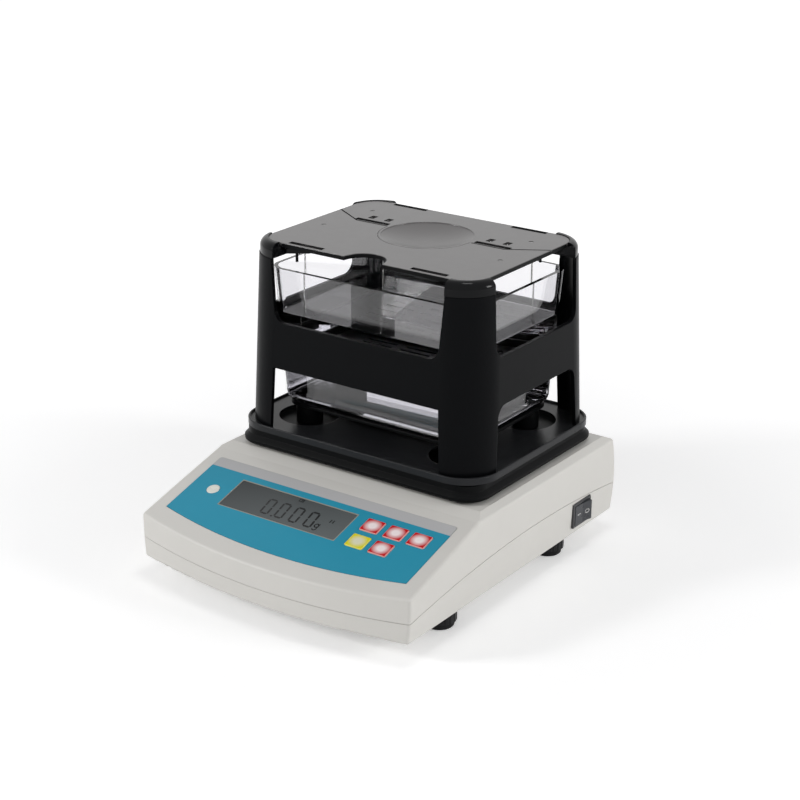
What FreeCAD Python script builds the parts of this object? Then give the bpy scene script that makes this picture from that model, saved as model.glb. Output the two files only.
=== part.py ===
"""Benchtop density meter: a scale with a fixed water tank over its plateau and a measuring frame
around the tank. The frame stands on the weighing tray and carries a plate on top and a basket
under water, so that a sample can be weighed in air and in water.

Millimetres. +X is the user's right, +Y goes to the rear and +Z is up. The origin lies on the
bench, midway between the left and right walls and between the foremost point of the bowed front
and the rear wall.
"""
import FreeCAD, Part

import math
import os
import re

import Sketcher
from FreeCAD import Placement, Rotation, Vector

# name, value, meaning
SIZES = [
    # housing
    ("housing_width", 200, "across the widest point of the bowed side walls"),
    ("housing_depth", 230.4, "front corners to rear wall"),
    ("front_bow", 12, "how far the middle of the front stands before its corners"),
    ("underside_height", 12, "bench to the housing's underside"),
    ("shoulder_height", 61.05, "bench to the top edge of the side walls"),
    ("panel_run", 70.5, "front corners to the top edge of the sloping panel, level"),
    ("panel_slope", 16.06, "degrees"),
    ("wall_foot_inset", 1.4, "side and rear walls, from their widest point in to their foot"),
    ("wall_top_inset", 1.3, "side and rear walls, from their widest point in to their top"),
    ("shell_wall", 2.5, "wall thickness of both shells"),
    ("edge_rounding", 2, "outer edges of the housing"),
    ("plateau_rise", 3.15, "shoulder to the plateau under the stage"),
    ("plateau_front_band", 8, "sloping border before the plateau"),
    ("plateau_side_band", 4.7, "sloping border beside the plateau"),
    ("plateau_rear_band", 6.6, "sloping border behind the plateau"),
    ("plateau_corner", 8, "corner radius of the plateau"),
    # parting line
    ("seam_front_height", 22.9, "parting line at the foremost point"),
    ("seam_rear_height", 31.2, "parting line at the rear wall"),
    ("seam_crown", 9.8, "rise of the parting line over its chord"),
    ("seam_gap", 0.3, "open line between the two shells"),
    ("tongue_rise", 3, "lower shell's inner tongue over the parting line"),
    ("tongue_clearance", 0.15, "tongue to the rebate of the upper shell"),
    # housing screws
    ("pillar_radius", 5, "screw pillars of both shells"),
    ("pillar_inset", 15, "side walls to the screw pillars"),
    ("pillar_front", 13, "front corners to the front screw pillars"),
    ("pillar_rear", 18, "rear wall to the rear screw pillars"),
    ("pillar_split_height", 26, "where the pillars of the two shells meet"),
    ("screw_radius", 1.5, "shank of the small screws"),
    ("screw_clearance", 0.05, "shank to its hole"),
    ("screw_head_radius", 2.8, "head of the small screws"),
    ("screw_head_height", 2, "head of the small screws"),
    ("screw_length", 20, "shank of the housing screws"),
    ("screw_sink", 5, "depth of the screw heads' wells in the underside"),
    # feet
    ("foot_inset", 15, "side walls to the feet"),
    ("foot_front", 51, "front corners to the front feet"),
    ("foot_rear", 58, "rear wall to the rear feet"),
    ("foot_pad_radius", 9, "rubber pad"),
    ("foot_pad_height", 4, "rubber pad"),
    ("foot_knob_radius", 10.5, "knurled knob over the pad"),
    ("foot_knob_height", 6.5, "knurled knob"),
    ("foot_flutes", 18, "grip flutes round the knob"),
    ("foot_flute_radius", 0.8, "grip flutes"),
    ("foot_stud_radius", 3, "threaded stud"),
    ("foot_stud_length", 11, "stud over the knob"),
    ("foot_boss_radius", 6.5, "boss in the lower shell that takes the stud"),
    ("foot_boss_height", 9, "boss over the floor"),
    # panel
    ("overlay_thickness", 0.8, "printed sheet on the panel"),
    ("overlay_recess", 0.6, "depth of its bed in the panel"),
    ("overlay_clearance", 0.2, "sheet to the edge of its bed"),
    ("overlay_half_width", 89.5, "half of the sheet's width"),
    ("overlay_top", 65.1, "up the slope, front corners to the sheet's top edge"),
    ("overlay_corner_height", 11.1, "up the slope, to the sheet's lower corners"),
    ("overlay_bow", 10.5, "bow of the sheet's lower edge"),
    ("overlay_rounding", 2, "corners of the sheet"),
    ("window_left", -60, "display window"),
    ("window_right", 27.5, "display window"),
    ("window_bottom", 25.9, "display window, up the slope"),
    ("window_top", 51.1, "display window, up the slope"),
    ("window_rounding", 1, "corners of the display window"),
    ("window_sink", 0.15, "window's face under the face of the sheet"),
    ("window_clearance", 0.1, "window to sheet and shell"),
    ("display_margin", 4, "display module beyond the window, every side"),
    ("display_thickness", 4.5, "display module"),
    ("glass_thickness", 1.1, "display glass on the module"),
    ("key_width", 12.8, "key cap"),
    ("key_height", 11.3, "key cap, up the slope"),
    ("key_rounding", 1.2, "corners of the key cap"),
    ("key_first", 42.1, "middle of the left key column"),
    ("key_pitch", 16.6, "key columns"),
    ("key_upper_row", 45.7, "middle of the upper row, up the slope"),
    ("key_lower_row", 30.5, "middle of the lower row, up the slope"),
    ("key_proud", 0.7, "key's face over the panel's face"),
    ("key_clearance", 0.15, "key to its opening"),
    ("key_flange", 0.9, "flange that keeps the key in, beyond the cap and its thickness"),
    ("key_travel", 0.4, "stroke of a key"),
    ("dome_radius", 3, "switch dome under a key"),
    ("dome_height", 1.2, "switch dome under a key"),
    ("board_thickness", 1.6, "circuit boards"),
    ("keypad_side_margin", 3, "keypad board beside the outer keys"),
    ("keypad_end_margin", 7, "keypad board over and under the keys"),
    ("level_x", -72.7, "spirit level"),
    ("level_up", 36.4, "spirit level, up the slope"),
    ("level_radius", 4.2, "spirit level"),
    ("level_depth", 7, "spirit level's cup under the panel's face"),
    ("level_proud", 0.5, "spirit level's lens over the panel's face"),
    # rocker switch
    ("switch_setback", 187.6, "front corners to the switch's middle"),
    ("switch_height", 25.7, "bench to the switch's middle"),
    ("switch_seat", 0.5, "flat under the bezel, in from the wall's widest point"),
    ("bezel_length", 21.8, "bezel along the wall"),
    ("bezel_rise", 16.4, "bezel, upright"),
    ("bezel_thickness", 1.4, "bezel before the wall"),
    ("bezel_rounding", 1, "corners of the bezel"),
    ("switch_body_length", 19.6, "switch body behind the wall"),
    ("switch_body_rise", 14.8, "switch body behind the wall"),
    ("switch_body_depth", 9, "switch body behind the wall"),
    ("rocker_radius", 8.8, "rocker's round ends, about its pin"),
    ("rocker_rise", 12.6, "rocker, upright"),
    ("rocker_clearance", 0.3, "rocker to the bezel"),
    ("rocker_corner", 23, "degrees, from the wall's line up to the corners of its face"),
    ("rocker_dish", 0.8, "middle of the rocker's face under its corners"),
    ("rocker_tilt", 8, "degrees, each way from level"),
    ("rocker_proud", 0.2, "pressed corner of the rocker over the bezel"),
    ("rocker_pin_radius", 1, "rocker's pin"),
    ("rocker_pin_clearance", 0.05, "pin to its hole"),
    # rear wall
    ("inlet_x", -55, "power inlet"),
    ("inlet_height", 21.5, "bench to the power inlet"),
    ("inlet_radius", 4.5, "power inlet's barrel"),
    ("inlet_nut_radius", 5.8, "power inlet's collar"),
    ("inlet_nut_height", 1, "power inlet's collar"),
    ("inlet_bore", 2.75, "socket of the power inlet"),
    ("inlet_pin", 1.05, "pin of the power inlet"),
    ("inlet_depth", 10, "power inlet's barrel behind the wall"),
    # weighing cell
    ("cell_length", 130, "bar of the weighing cell"),
    ("cell_width", 30, "bar of the weighing cell"),
    ("cell_height", 22, "bar of the weighing cell"),
    ("cell_end", 32, "length of each clamped end"),
    ("cell_bore", 7.5, "radius of the bar's two holes"),
    ("cell_bore_spread", 17, "holes from the bar's middle"),
    ("cell_slit", 5, "height of the slit that joins the holes"),
    ("mount_height", 8, "block under the cell's fixed end"),
    ("mount_margin", 3, "block beyond the cell, each side"),
    ("spider_gap", 0.4, "cell to the spider's foot"),
    ("spider_foot", 3.4, "height of the spider's foot"),
    ("spider_thickness", 4, "spider's plate"),
    ("spider_half_width", 34, "spider's plate"),
    ("spider_rounding", 8, "corners of the spider's plate"),
    ("cell_screw_radius", 2.5, "screws of the cell"),
    ("cell_screw_spread", 8, "screws of the cell from its middle plane"),
    ("cell_screw_slack", 0.4, "spider's screws to their holes in the cell"),
    ("stem_radius", 8, "stem from the spider to the tray"),
    ("stem_flange_radius", 12.5, "flange on the stem"),
    ("stem_flange_height", 2.5, "flange on the stem"),
    ("stem_hole_radius", 14, "holes in housing and drip base round the stem"),
    # main board
    ("main_board_half_width", 62, "main board"),
    ("main_board_depth", 58, "main board"),
    ("main_board_front", 14, "front corners to the main board"),
    ("main_board_standoff", 6, "posts under the main board"),
    ("standoff_radius", 3.5, "posts under the main board"),
    ("standoff_inset", 5, "posts from the board's edges"),
    # drip base
    ("stage_setback", 149.55, "front corners to the middle of tray, tank and frame"),
    ("plinth_height", 1.6, "drip base's plinth on the plateau"),
    ("plinth_inset", 6, "plinth, in from the brim"),
    ("brim_half_width", 91, "drip base's brim"),
    ("brim_half_depth", 72.3, "drip base's brim"),
    ("brim_corner", 16.5, "drip base's brim"),
    ("brim_height", 5.5, "drip base's brim"),
    ("brim_slope", 2.7, "45 degree slope on top of the brim"),
    ("brim_rounding", 1.6, "lower edge of the brim"),
    ("neck_height", 4.2, "drip base's neck over the brim"),
    ("drip_wall", 2.5, "drip base's wall"),
    # weighing tray
    ("tray_half_width", 91.5, "weighing tray"),
    ("tray_half_depth", 72, "weighing tray"),
    ("tray_corner", 23, "weighing tray"),
    ("tray_floor_height", 79.3, "bench to the tray's upper face"),
    ("tray_floor", 1.5, "thickness of the tray's floor"),
    ("tray_wall", 1.3, "thickness of the tray's rim"),
    ("tray_rim_rise", 1.2, "rim over the tray's upper face"),
    ("tray_skirt", 1.6, "skirt under the tray's floor"),
    ("leg_spread_x", 57.5, "legs of the tank support from the middle"),
    ("leg_spread_y", 37, "legs of the tank support from the middle"),
    ("leg_hole_radius", 19.5, "holes in the tray round the legs"),
    ("platform_travel", 0.3, "sinking of tray and frame at full load"),
    # tank support and tank
    ("leg_radius", 8.5, "legs of the tank support"),
    ("support_half_width", 69, "plate of the tank support"),
    ("support_half_depth", 49, "plate of the tank support"),
    ("support_thickness", 2.3, "plate of the tank support"),
    ("tank_foot_height", 90.7, "bench to the tank's underside"),
    ("tank_height", 88, "tank"),
    ("tank_foot_half_width", 71.1, "tank at its foot"),
    ("tank_foot_half_depth", 51.1, "tank at its foot"),
    ("tank_rim_half_width", 76.1, "tank at its rim"),
    ("tank_rim_half_depth", 55, "tank at its rim"),
    ("tank_corner", 12, "upright corners of the tank"),
    ("tank_wall", 2.6, "tank's wall"),
    ("tank_floor", 4, "tank's floor"),
    ("tank_foot_band", 9, "straight foot of the tank under its flare"),
    ("tank_foot_rounding", 7, "tank's lower edge"),
    # measuring frame
    ("frame_foot_half_width", 89.06, "frame where it stands on the tray"),
    ("frame_foot_half_depth", 69.26, "frame where it stands on the tray"),
    ("frame_draft", 0.032, "inward lean of each face of the frame, per unit of height"),
    ("frame_corner", 25, "round corners of the posts"),
    ("frame_wall", 2.5, "wall of the frame"),
    ("frame_top_height", 187.9, "bench to the top of the posts"),
    ("belt_bottom_height", 119.1, "bench to the belt's lower edge"),
    ("belt_top_height", 148.9, "bench to the belt's upper edge"),
    ("upper_window_foot", 60.2, "half width of the front window over the belt, at the belt"),
    ("upper_window_head", 63.4, "half width of the front window over the belt, at its top"),
    ("lower_window_foot", 63.4, "half width of the front window under the belt, at the tray"),
    ("lower_window_head", 61.6, "half width of the front window under the belt, at the belt"),
    ("side_upper_window", 45.2, "half width of the side window over the belt"),
    ("side_lower_window_foot", 46.2, "half width of the side window under the belt, at the tray"),
    ("side_lower_window_head", 43.2, "half width of the side window under the belt, at the belt"),
    ("window_corner", 8, "rounded corners of the frame's windows"),
    # post caps
    ("cap_step", 0.5, "cap inside the post's faces"),
    ("cap_top_height", 197.1, "bench to the caps' rims"),
    ("cap_rounding", 5, "upper outer edge of the caps"),
    ("cap_inner_x", 62.8, "caps' inner end beside the long windows"),
    ("cap_inner_y", 44.7, "caps' inner end beside the short windows"),
    ("cap_inner_rounding", 5, "caps' inner corner"),
    ("cap_wall", 2, "caps' wall"),
    ("cap_ceiling", 1.4, "caps' wall under the plate"),
    ("hanger_x", 56.5, "hanger wires from the middle"),
    ("hanger_y", 41, "hanger wires from the middle"),
    ("arm_width", 9, "arms under the plate"),
    ("arm_thickness", 3.2, "arms under the plate"),
    ("arm_tip", 4, "arm beyond its wire"),
    ("arm_root", 18, "arm from its wire out into the cap"),
    ("peg_offset", 5, "peg from the wire, outward"),
    ("peg_radius", 0.9, "peg under the arm"),
    ("peg_length", 6.5, "peg under the arm"),
    # top plate
    ("plate_sink", 0.43, "plate's face under the caps' rims"),
    ("plate_thickness", 1.4, "top plate"),
    ("plate_half_width", 79, "top plate"),
    ("plate_half_depth", 57.7, "top plate"),
    ("plate_corner", 15, "top plate"),
    ("plate_clearance", 0.3, "plate to the caps' rims"),
    ("plate_gap", 0.35, "gap between the plate's two parts"),
    ("part_edge_y", 25.3, "parting of the plate at its sides"),
    ("part_elbow_x", 67, "parting of the plate, outer bend"),
    ("part_elbow_y", 18, "parting of the plate, outer bend"),
    ("part_step_x", 55, "parting of the plate, inner bend"),
    ("part_step_y", 10.5, "parting of the plate, inner bend"),
    ("dish_y", 9, "middle of the dish, behind the plate's middle"),
    ("dish_radius", 30.5, "rim of the dish"),
    ("dish_depth", 5, "dish"),
    ("dish_flat", 4, "flat middle of the dish"),
    ("notch_radius", 14, "finger notch in the plate's front edge"),
    ("slot_width", 1.5, "slots in the plate"),
    ("slot_inner_x", 33.5, "slots, inner end"),
    ("slot_outer_x", 56.5, "slots, outer end"),
    ("slot_front_y", -54, "slots by the front edge"),
    ("slot_rear_y", 55.5, "slots by the rear edge"),
    ("slot_middle_y", 13.6, "slots behind the parting"),
    ("port_width", 3.2, "small openings behind the parting"),
    ("port_depth", 5, "small openings behind the parting"),
    ("port_inner_x", 38.3, "small openings, inner pair"),
    ("port_outer_x", 50.5, "small openings, outer pair"),
    ("port_y", 21.7, "small openings"),
    ("dot_radius", 1.5, "round holes in the plate, for the screws of the strips"),
    ("front_dot_x", 65.5, "round holes in the front part"),
    ("front_dot_y", -10.2, "round holes in the front part"),
    ("rear_dot_x", 59.8, "round holes in the rear part"),
    ("rear_dot_y", 33.8, "round holes in the rear part"),
    ("strip_half_width", 4, "strips under the plate that join its parts"),
    ("strip_margin", 4, "strips beyond their screws"),
    ("strip_thickness", 2, "strips under the plate"),
    ("strip_screw_radius", 1, "screws of the strips"),
    ("strip_screw_sink", 0.3, "heads of the screws under the plate's face"),
    # basket
    ("wire_radius", 0.5, "hanger wires"),
    ("wire_clearance", 0.3, "wire to its hole in the arm"),
    ("wire_bead_radius", 1.4, "beads that hold the wires on the arms"),
    ("basket_floor_height", 123, "bench to the basket's underside"),
    ("basket_half_width", 60.5, "sample basket"),
    ("basket_half_depth", 44.5, "sample basket"),
    ("basket_corner", 6, "sample basket"),
    ("basket_floor", 2, "sample basket's floor"),
    ("basket_rim_rise", 5, "basket's rim over its floor"),
    ("basket_rim_wall", 1.6, "basket's rim"),
    ("basket_slot_length", 22, "drain slots in the basket"),
    ("basket_slot_width", 4, "drain slots in the basket"),
    ("basket_slot_pitch_x", 28, "drain slots in the basket"),
    ("basket_slot_pitch_y", 10, "drain slots in the basket"),
]

# Places that several pieces share, as sums of the sizes above.
FRONT = "((front_bow - housing_depth) / 2)"
REAR = "((front_bow + housing_depth) / 2)"
FOREMOST = f"({FRONT} - front_bow)"
FLOOR = "(underside_height + shell_wall)"
PANEL_FOOT = "(shoulder_height - panel_run * tan(panel_slope))"
PLATEAU = "(shoulder_height + plateau_rise)"
STAGE = f"({FRONT} + stage_setback)"
PLATEAU_HALF_WIDTH = "(housing_width / 2 - wall_top_inset - plateau_side_band)"
PLATEAU_FRONT = f"({FRONT} + panel_run + plateau_front_band)"
PLATEAU_REAR = f"({REAR} - wall_top_inset - plateau_rear_band)"
WALL_BOW = "((wall_foot_inset + wall_top_inset) / 2)"
BRIM_BOTTOM = f"({PLATEAU} + plinth_height)"
NECK_BOTTOM = f"({BRIM_BOTTOM} + brim_height)"
DRIP_TOP = f"({NECK_BOTTOM} + neck_height)"
TRAY_UNDERSIDE = "(tray_floor_height - tray_floor)"
CELL_BOTTOM = f"({FLOOR} + mount_height)"
CELL_TOP = f"({CELL_BOTTOM} + cell_height)"
SPIDER_BOTTOM = f"({CELL_TOP} + spider_gap)"
SPIDER_TOP = f"({SPIDER_BOTTOM} + spider_foot + spider_thickness)"
FRAME_HEIGHT = "(frame_top_height - tray_floor_height)"
FRAME_TOP_HALF_WIDTH = f"(frame_foot_half_width - frame_draft * {FRAME_HEIGHT})"
FRAME_TOP_HALF_DEPTH = f"(frame_foot_half_depth - frame_draft * {FRAME_HEIGHT})"
PLATE_TOP = "(cap_top_height - plate_sink)"
PLATE_UNDERSIDE = f"({PLATE_TOP} - plate_thickness)"
HANGER_REACH = "sqrt(hanger_x ^ 2 + hanger_y ^ 2)"
HANGER_X = f"(hanger_x / {HANGER_REACH})"
HANGER_Y = f"(hanger_y / {HANGER_REACH})"
KEY_UNDERSIDE = "(-shell_wall - key_clearance - key_flange)"
KEYPAD_TOP = f"({KEY_UNDERSIDE} - key_travel - key_clearance - dome_height)"
PIVOT_DEPTH = "(rocker_radius * sin(rocker_corner - rocker_tilt) - rocker_proud)"
BASKET_TOP = "(basket_floor_height + basket_floor)"

BOTH_SIDES = (-1, 1)
UPRIGHT_YZ = Rotation(Vector(1, 1, 1), 120)
UPRIGHT_XZ = Rotation(Vector(1, 0, 0), 90)

document = FreeCAD.newDocument("density_meter")
sheet = document.addObject("Spreadsheet::Sheet", "sizes")
for row, (name, number, meaning) in enumerate(SIZES, start=1):
    sheet.set(f"A{row}", name)
    sheet.set(f"B{row}", str(number))
    sheet.set(f"C{row}", meaning)
    sheet.setAlias(f"B{row}", name)
document.recompute()
NAMES = {name for name, number, meaning in SIZES}


# ---- helpers -------------------------------------------------------------------------------------

def formula(text):
    """The sum with each size named as a cell of the sheet."""
    return re.sub(r"[a-z_]+", lambda word: "sizes." + word[0] if word[0] in NAMES else word[0], text)


def value(text):
    """What a sum of sizes comes to now."""
    return float(sheet.evalExpression(formula(text)))


def bind(item, place, text):
    """Tie a property of a document object to a sum of sizes."""
    item.setExpression(place, formula(text))


def put(item, x="0", y="0", z="0"):
    """Tie an object's place to sums of sizes."""
    for axis, text in zip("xyz", (x, y, z)):
        bind(item, f"Placement.Base.{axis}", text)
    return item


def add(kind, name):
    return document.addObject(kind, name)


def new_body(name, y="0", z="0", x="0"):
    """An empty body, placed in the instrument."""
    return put(add("PartDesign::Body", name), x, y, z)


def panel_body(name, x="0", up="0"):
    """An empty body that lies in the panel: its X runs across, its Y up the slope, its Z outward."""
    body = add("PartDesign::Body", name)
    body.Placement = Placement(Vector(), Rotation(Vector(1, 0, 0), value("panel_slope")))
    bind(body, "Placement.Rotation.Angle", "panel_slope")
    return put(body, x, f"{FRONT} + ({up}) * cos(panel_slope)", f"{PANEL_FOOT} + ({up}) * sin(panel_slope)")


def sketch_in(body, plane="XY_Plane", height="0"):
    """A sketch on one of the body's own planes, moved along the plane's normal by height."""
    sketch = body.newObject("Sketcher::SketchObject", f"{body.Name}_sketch")
    sketch.AttachmentSupport = [(next(f for f in body.Origin.OriginFeatures if f.Role == plane), "")]
    sketch.MapMode = "FlatFace"
    bind(sketch, "AttachmentOffset.Base.z", height)
    return sketch


def fix(sketch, kind, references, now, text):
    """Add a dimension to a sketch and tie it to a sum of sizes."""
    index = sketch.addConstraint(Sketcher.Constraint(kind, *references, now))
    sketch.renameConstraint(index, f"size_{index}")
    bind(sketch, f"Constraints.size_{index}", text)


def mark(sketch, x, y):
    """A construction point at two sums of sizes."""
    point = sketch.addGeometry(Part.Point(Vector(value(x), value(y), 0)), True)
    fix(sketch, "DistanceX", (-1, 1, point, 1), value(x), x)
    fix(sketch, "DistanceY", (-1, 1, point, 1), value(y), y)
    return point


def circle(sketch, x, y, radius):
    centre = Vector(value(x), value(y), 0)
    ring = sketch.addGeometry(Part.Circle(centre, Vector(0, 0, 1), value(radius)), False)
    fix(sketch, "DistanceX", (-1, 1, ring, 3), value(x), x)
    fix(sketch, "DistanceY", (-1, 1, ring, 3), value(y), y)
    fix(sketch, "Radius", (ring,), value(radius), radius)


def arc_between(start, middle, end):
    """The arc through three points, and which of its two ends (1 or 2) is the start."""
    through = Part.Circle(start, middle, end)
    centre = through.Center
    first = math.atan2(start.y - centre.y, start.x - centre.x)
    last = math.atan2(end.y - centre.y, end.x - centre.x)
    turn = (middle - start).cross(end - middle).z
    if turn > 0:
        sweep = (first, last)
    else:
        sweep = (last, first)
    ring = Part.Circle(centre, Vector(0, 0, 1), through.Radius)
    low, high = sweep
    if high <= low:
        high += 2 * math.pi
    return Part.ArcOfCircle(ring, low, high), 1 if turn > 0 else 2


def outline(sketch, corners):
    """Draw a closed outline through corners, each (x, y) or (x, y, {options}) in sums of sizes.

    rounding is the radius that rounds a corner. bulge is how far the side that leaves the corner
    bows out to its right, or radius is the radius of that bow; such a side has no rounded ends.
    """
    count = len(corners)
    marks = [mark(sketch, corner[0], corner[1]) for corner in corners]
    points = [Vector(value(corner[0]), value(corner[1]), 0) for corner in corners]
    options = [corner[2] if len(corner) > 2 else {} for corner in corners]
    arrive, leave, roundings = [], [], []
    for i, point in enumerate(points):
        back = (points[i - 1] - point).normalize()
        ahead = (points[(i + 1) % count] - point).normalize()
        if "rounding" not in options[i]:
            arrive.append(point)
            leave.append(point)
            roundings.append(None)
            continue
        radius = value(options[i]["rounding"])
        half = back.getAngle(ahead) / 2
        arrive.append(point + back * (radius / math.tan(half)))
        leave.append(point + ahead * (radius / math.tan(half)))
        inward = (back + ahead).normalize()
        middle = point + inward * (radius / math.sin(half) - radius)
        arc, start = arc_between(arrive[i], middle, leave[i])
        roundings.append((sketch.addGeometry(arc, False), start))
        fix(sketch, "Radius", (roundings[i][0],), radius, options[i]["rounding"])
    sides = []
    for i in range(count):
        j = (i + 1) % count
        start, end = leave[i], arrive[j]
        if "bulge" in options[i] or "radius" in options[i]:
            along = end - start
            right = Vector(along.y, -along.x, 0).normalize()
            if "bulge" in options[i]:
                bulge = options[i]["bulge"]
                bow = value(bulge)
                (x1, y1), (x2, y2) = corners[i][:2], corners[j][:2]
                chord = f"((({x2}) - ({x1})) ^ 2 + (({y2}) - ({y1})) ^ 2)"
                radius = f"({chord} / 4 + ({bulge}) ^ 2) / (2 * abs({bulge}))"
            else:
                radius = options[i]["radius"]
                bow = value(radius) - math.sqrt(value(radius) ** 2 - (along.Length / 2) ** 2)
            arc, first = arc_between(start, (start + end) * 0.5 + right * bow, end)
            side = sketch.addGeometry(arc, False)
            last = 3 - first
            fix(sketch, "Radius", (side,), arc.Radius, radius)
        else:
            side = sketch.addGeometry(Part.LineSegment(start, end), False)
            first, last = 1, 2
        sides.append((side, first, last))
    for i in range(count):
        side, first, last = sides[i]
        j = (i + 1) % count
        for corner, end in ((i, first), (j, last)):
            if roundings[corner] is None:
                sketch.addConstraint(Sketcher.Constraint("Coincident", side, end, marks[corner], 1))
                continue
            arc, start = roundings[corner]
            near = start if corner == j else 3 - start
            sketch.addConstraint(Sketcher.Constraint("PointOnObject", marks[corner], 1, side))
            sketch.addConstraint(Sketcher.Constraint("Tangent", side, end, arc, near))


def rectangle(sketch, half_width, half_depth, rounding=None, x="0", y="0"):
    """A rectangle about (x, y), its corners rounded or sharp."""
    options = {"rounding": rounding} if rounding else {}
    outline(sketch, [
        (f"({x}) - ({half_width})", f"({y}) - ({half_depth})", options),
        (f"({x}) + ({half_width})", f"({y}) - ({half_depth})", options),
        (f"({x}) + ({half_width})", f"({y}) + ({half_depth})", options),
        (f"({x}) - ({half_width})", f"({y}) + ({half_depth})", options),
    ])


def feature(body, kind, profile):
    item = body.newObject(f"PartDesign::{kind}", f"{body.Name}_{kind.lower()}")
    item.Profile = profile
    return item


def pad(body, profile, height, symmetric=False):
    item = feature(body, "Pad", profile)
    bind(item, "Length", height)
    if symmetric:
        item.SideType = "Symmetric"
    document.recompute()
    return item


def pocket(body, profile, depth=None, upward=False, symmetric=False):
    """Cut a profile out of the body: down its normal, up it, or both ways; through all by default."""
    before = body.Tip.Shape.Volume
    item = feature(body, "Pocket", profile)
    item.Reversed = upward
    if symmetric:
        item.SideType = "Symmetric"
    if depth is None:
        item.Type = "ThroughAll"
    else:
        bind(item, "Length", depth)
    document.recompute()
    if not item.Shape.Volume < before:
        raise ValueError(f"{item.Name} cuts nothing")
    return item


def loft(body, low, high, kind="AdditiveLoft"):
    item = feature(body, kind, low)
    item.Sections = [high]
    item.Ruled = True
    document.recompute()
    return item


def revolve(body, profile, kind="Revolution"):
    """Turn a profile about the sketch's own upright axis."""
    item = feature(body, kind, profile)
    item.ReferenceAxis = (profile, ["V_Axis"])
    item.Angle = 360
    document.recompute()
    return item


def edges_where(shape, test):
    """The names of the edges whose bounding box passes the test."""
    return [f"Edge{n}" for n, edge in enumerate(shape.Edges, start=1) if test(edge.BoundBox)]


def dress(body, kind, size, test):
    """Fillet or chamfer the edges of the body that pass the test."""
    last = body.Tip
    item = body.newObject(f"PartDesign::{kind}", f"{body.Name}_{kind.lower()}")
    item.Base = (last, edges_where(last.Shape, test))
    bind(item, "Radius" if kind == "Fillet" else "Size", size)
    body.Tip = item
    document.recompute()
    return item


def at_height(text):
    """A test for edges that lie flat at a height."""
    height = value(text)
    return lambda box: abs(box.ZMin - height) < 0.01 and abs(box.ZMax - height) < 0.01


def extrusion(name, rotation, corners, length):
    """A free outline, extruded both ways from its plane."""
    sketch = add("Sketcher::SketchObject", f"{name}_outline")
    sketch.Placement = Placement(Vector(), rotation)
    outline(sketch, corners)
    item = add("Part::Extrusion", name)
    item.Base = sketch
    item.DirMode = "Normal"
    item.Solid = True
    item.Symmetric = True
    bind(item, "LengthFwd", length)
    document.recompute()
    return item


def join(name, *shapes):
    item = add("Part::MultiFuse", name)
    item.Shapes = list(shapes)
    document.recompute()
    return item


def common(name, *shapes):
    item = add("Part::MultiCommon", name)
    item.Shapes = list(shapes)
    document.recompute()
    return item


def cut(name, base, *tools):
    item = add("Part::Cut", name)
    item.Base = base
    item.Tool = tools[0] if len(tools) == 1 else join(f"{name}_tools", *tools)
    document.recompute()
    return item


def group(name, *shapes):
    """Separate solids that share one node."""
    item = add("Part::Compound", name)
    item.Links = list(shapes)
    document.recompute()
    return item


def cylinder(name, radius, height, x="0", y="0", z="0", rotation=Rotation()):
    item = add("Part::Cylinder", name)
    item.Placement = Placement(Vector(), rotation)
    bind(item, "Radius", radius)
    bind(item, "Height", height)
    return put(item, x, y, z)


def block(name, width, depth, height, x="0", y="0", z="0"):
    """A box about (x, y) that stands on z."""
    item = add("Part::Box", name)
    bind(item, "Length", width)
    bind(item, "Width", depth)
    bind(item, "Height", height)
    return put(item, f"({x}) - ({width}) / 2", f"({y}) - ({depth}) / 2", z)


def corner_places():
    """Front left, front right, rear left, rear right: a name and the signs of x and y."""
    return [
        (f"{'front' if side_y < 0 else 'rear'}_{'left' if side_x < 0 else 'right'}", side_x, side_y)
        for side_y in BOTH_SIDES
        for side_x in BOTH_SIDES
    ]


# ---- housing -------------------------------------------------------------------------------------

def housing_form(name, inset):
    """The housing's outer form, moved in by inset on every side: a side view, a front view and a
    plan in common."""
    top = f"shoulder_height - ({inset})"
    plateau = f"{PLATEAU} - ({inset})"
    foot = f"underside_height + ({inset})"
    rear_foot = f"{REAR} - wall_foot_inset - ({inset})"
    rear_top = f"{REAR} - wall_top_inset - ({inset})"
    before = f"({FRONT} - 2 * front_bow)"
    panel_drop = f"({inset}) / cos(panel_slope)"
    side = extrusion(f"{name}_side", UPRIGHT_YZ, [
        (before, foot),
        (rear_foot, foot, {"bulge": WALL_BOW}),
        (rear_top, top),
        (f"{PLATEAU_REAR} - ({inset})", plateau),
        (f"{PLATEAU_FRONT} + ({inset})", plateau),
        (f"{FRONT} + panel_run + ({inset}) * tan(panel_slope / 2)", top),
        (before, f"{PANEL_FOOT} + ({before} - {FRONT}) * tan(panel_slope) - {panel_drop}"),
    ], "2 * housing_width")
    half_foot = f"(housing_width / 2 - wall_foot_inset - ({inset}))"
    half_top = f"(housing_width / 2 - wall_top_inset - ({inset}))"
    half_plateau = f"({PLATEAU_HALF_WIDTH} - ({inset}))"
    front = extrusion(f"{name}_front", UPRIGHT_XZ, [
        (f"-{half_foot}", foot),
        (half_foot, foot, {"bulge": WALL_BOW}),
        (half_top, top),
        (half_plateau, plateau),
        (f"-{half_plateau}", plateau),
        (f"-{half_top}", top, {"bulge": WALL_BOW}),
    ], "2 * housing_depth")
    plan = extrusion(f"{name}_plan", Rotation(), [
        ("-housing_width / 2", f"{FRONT} + ({inset})", {"bulge": "front_bow"}),
        ("housing_width / 2", f"{FRONT} + ({inset})"),
        ("housing_width / 2", f"{REAR} + housing_depth"),
        ("-housing_width / 2", f"{REAR} + housing_depth"),
    ], "4 * shoulder_height")
    return common(name, side, front, plan)


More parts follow.
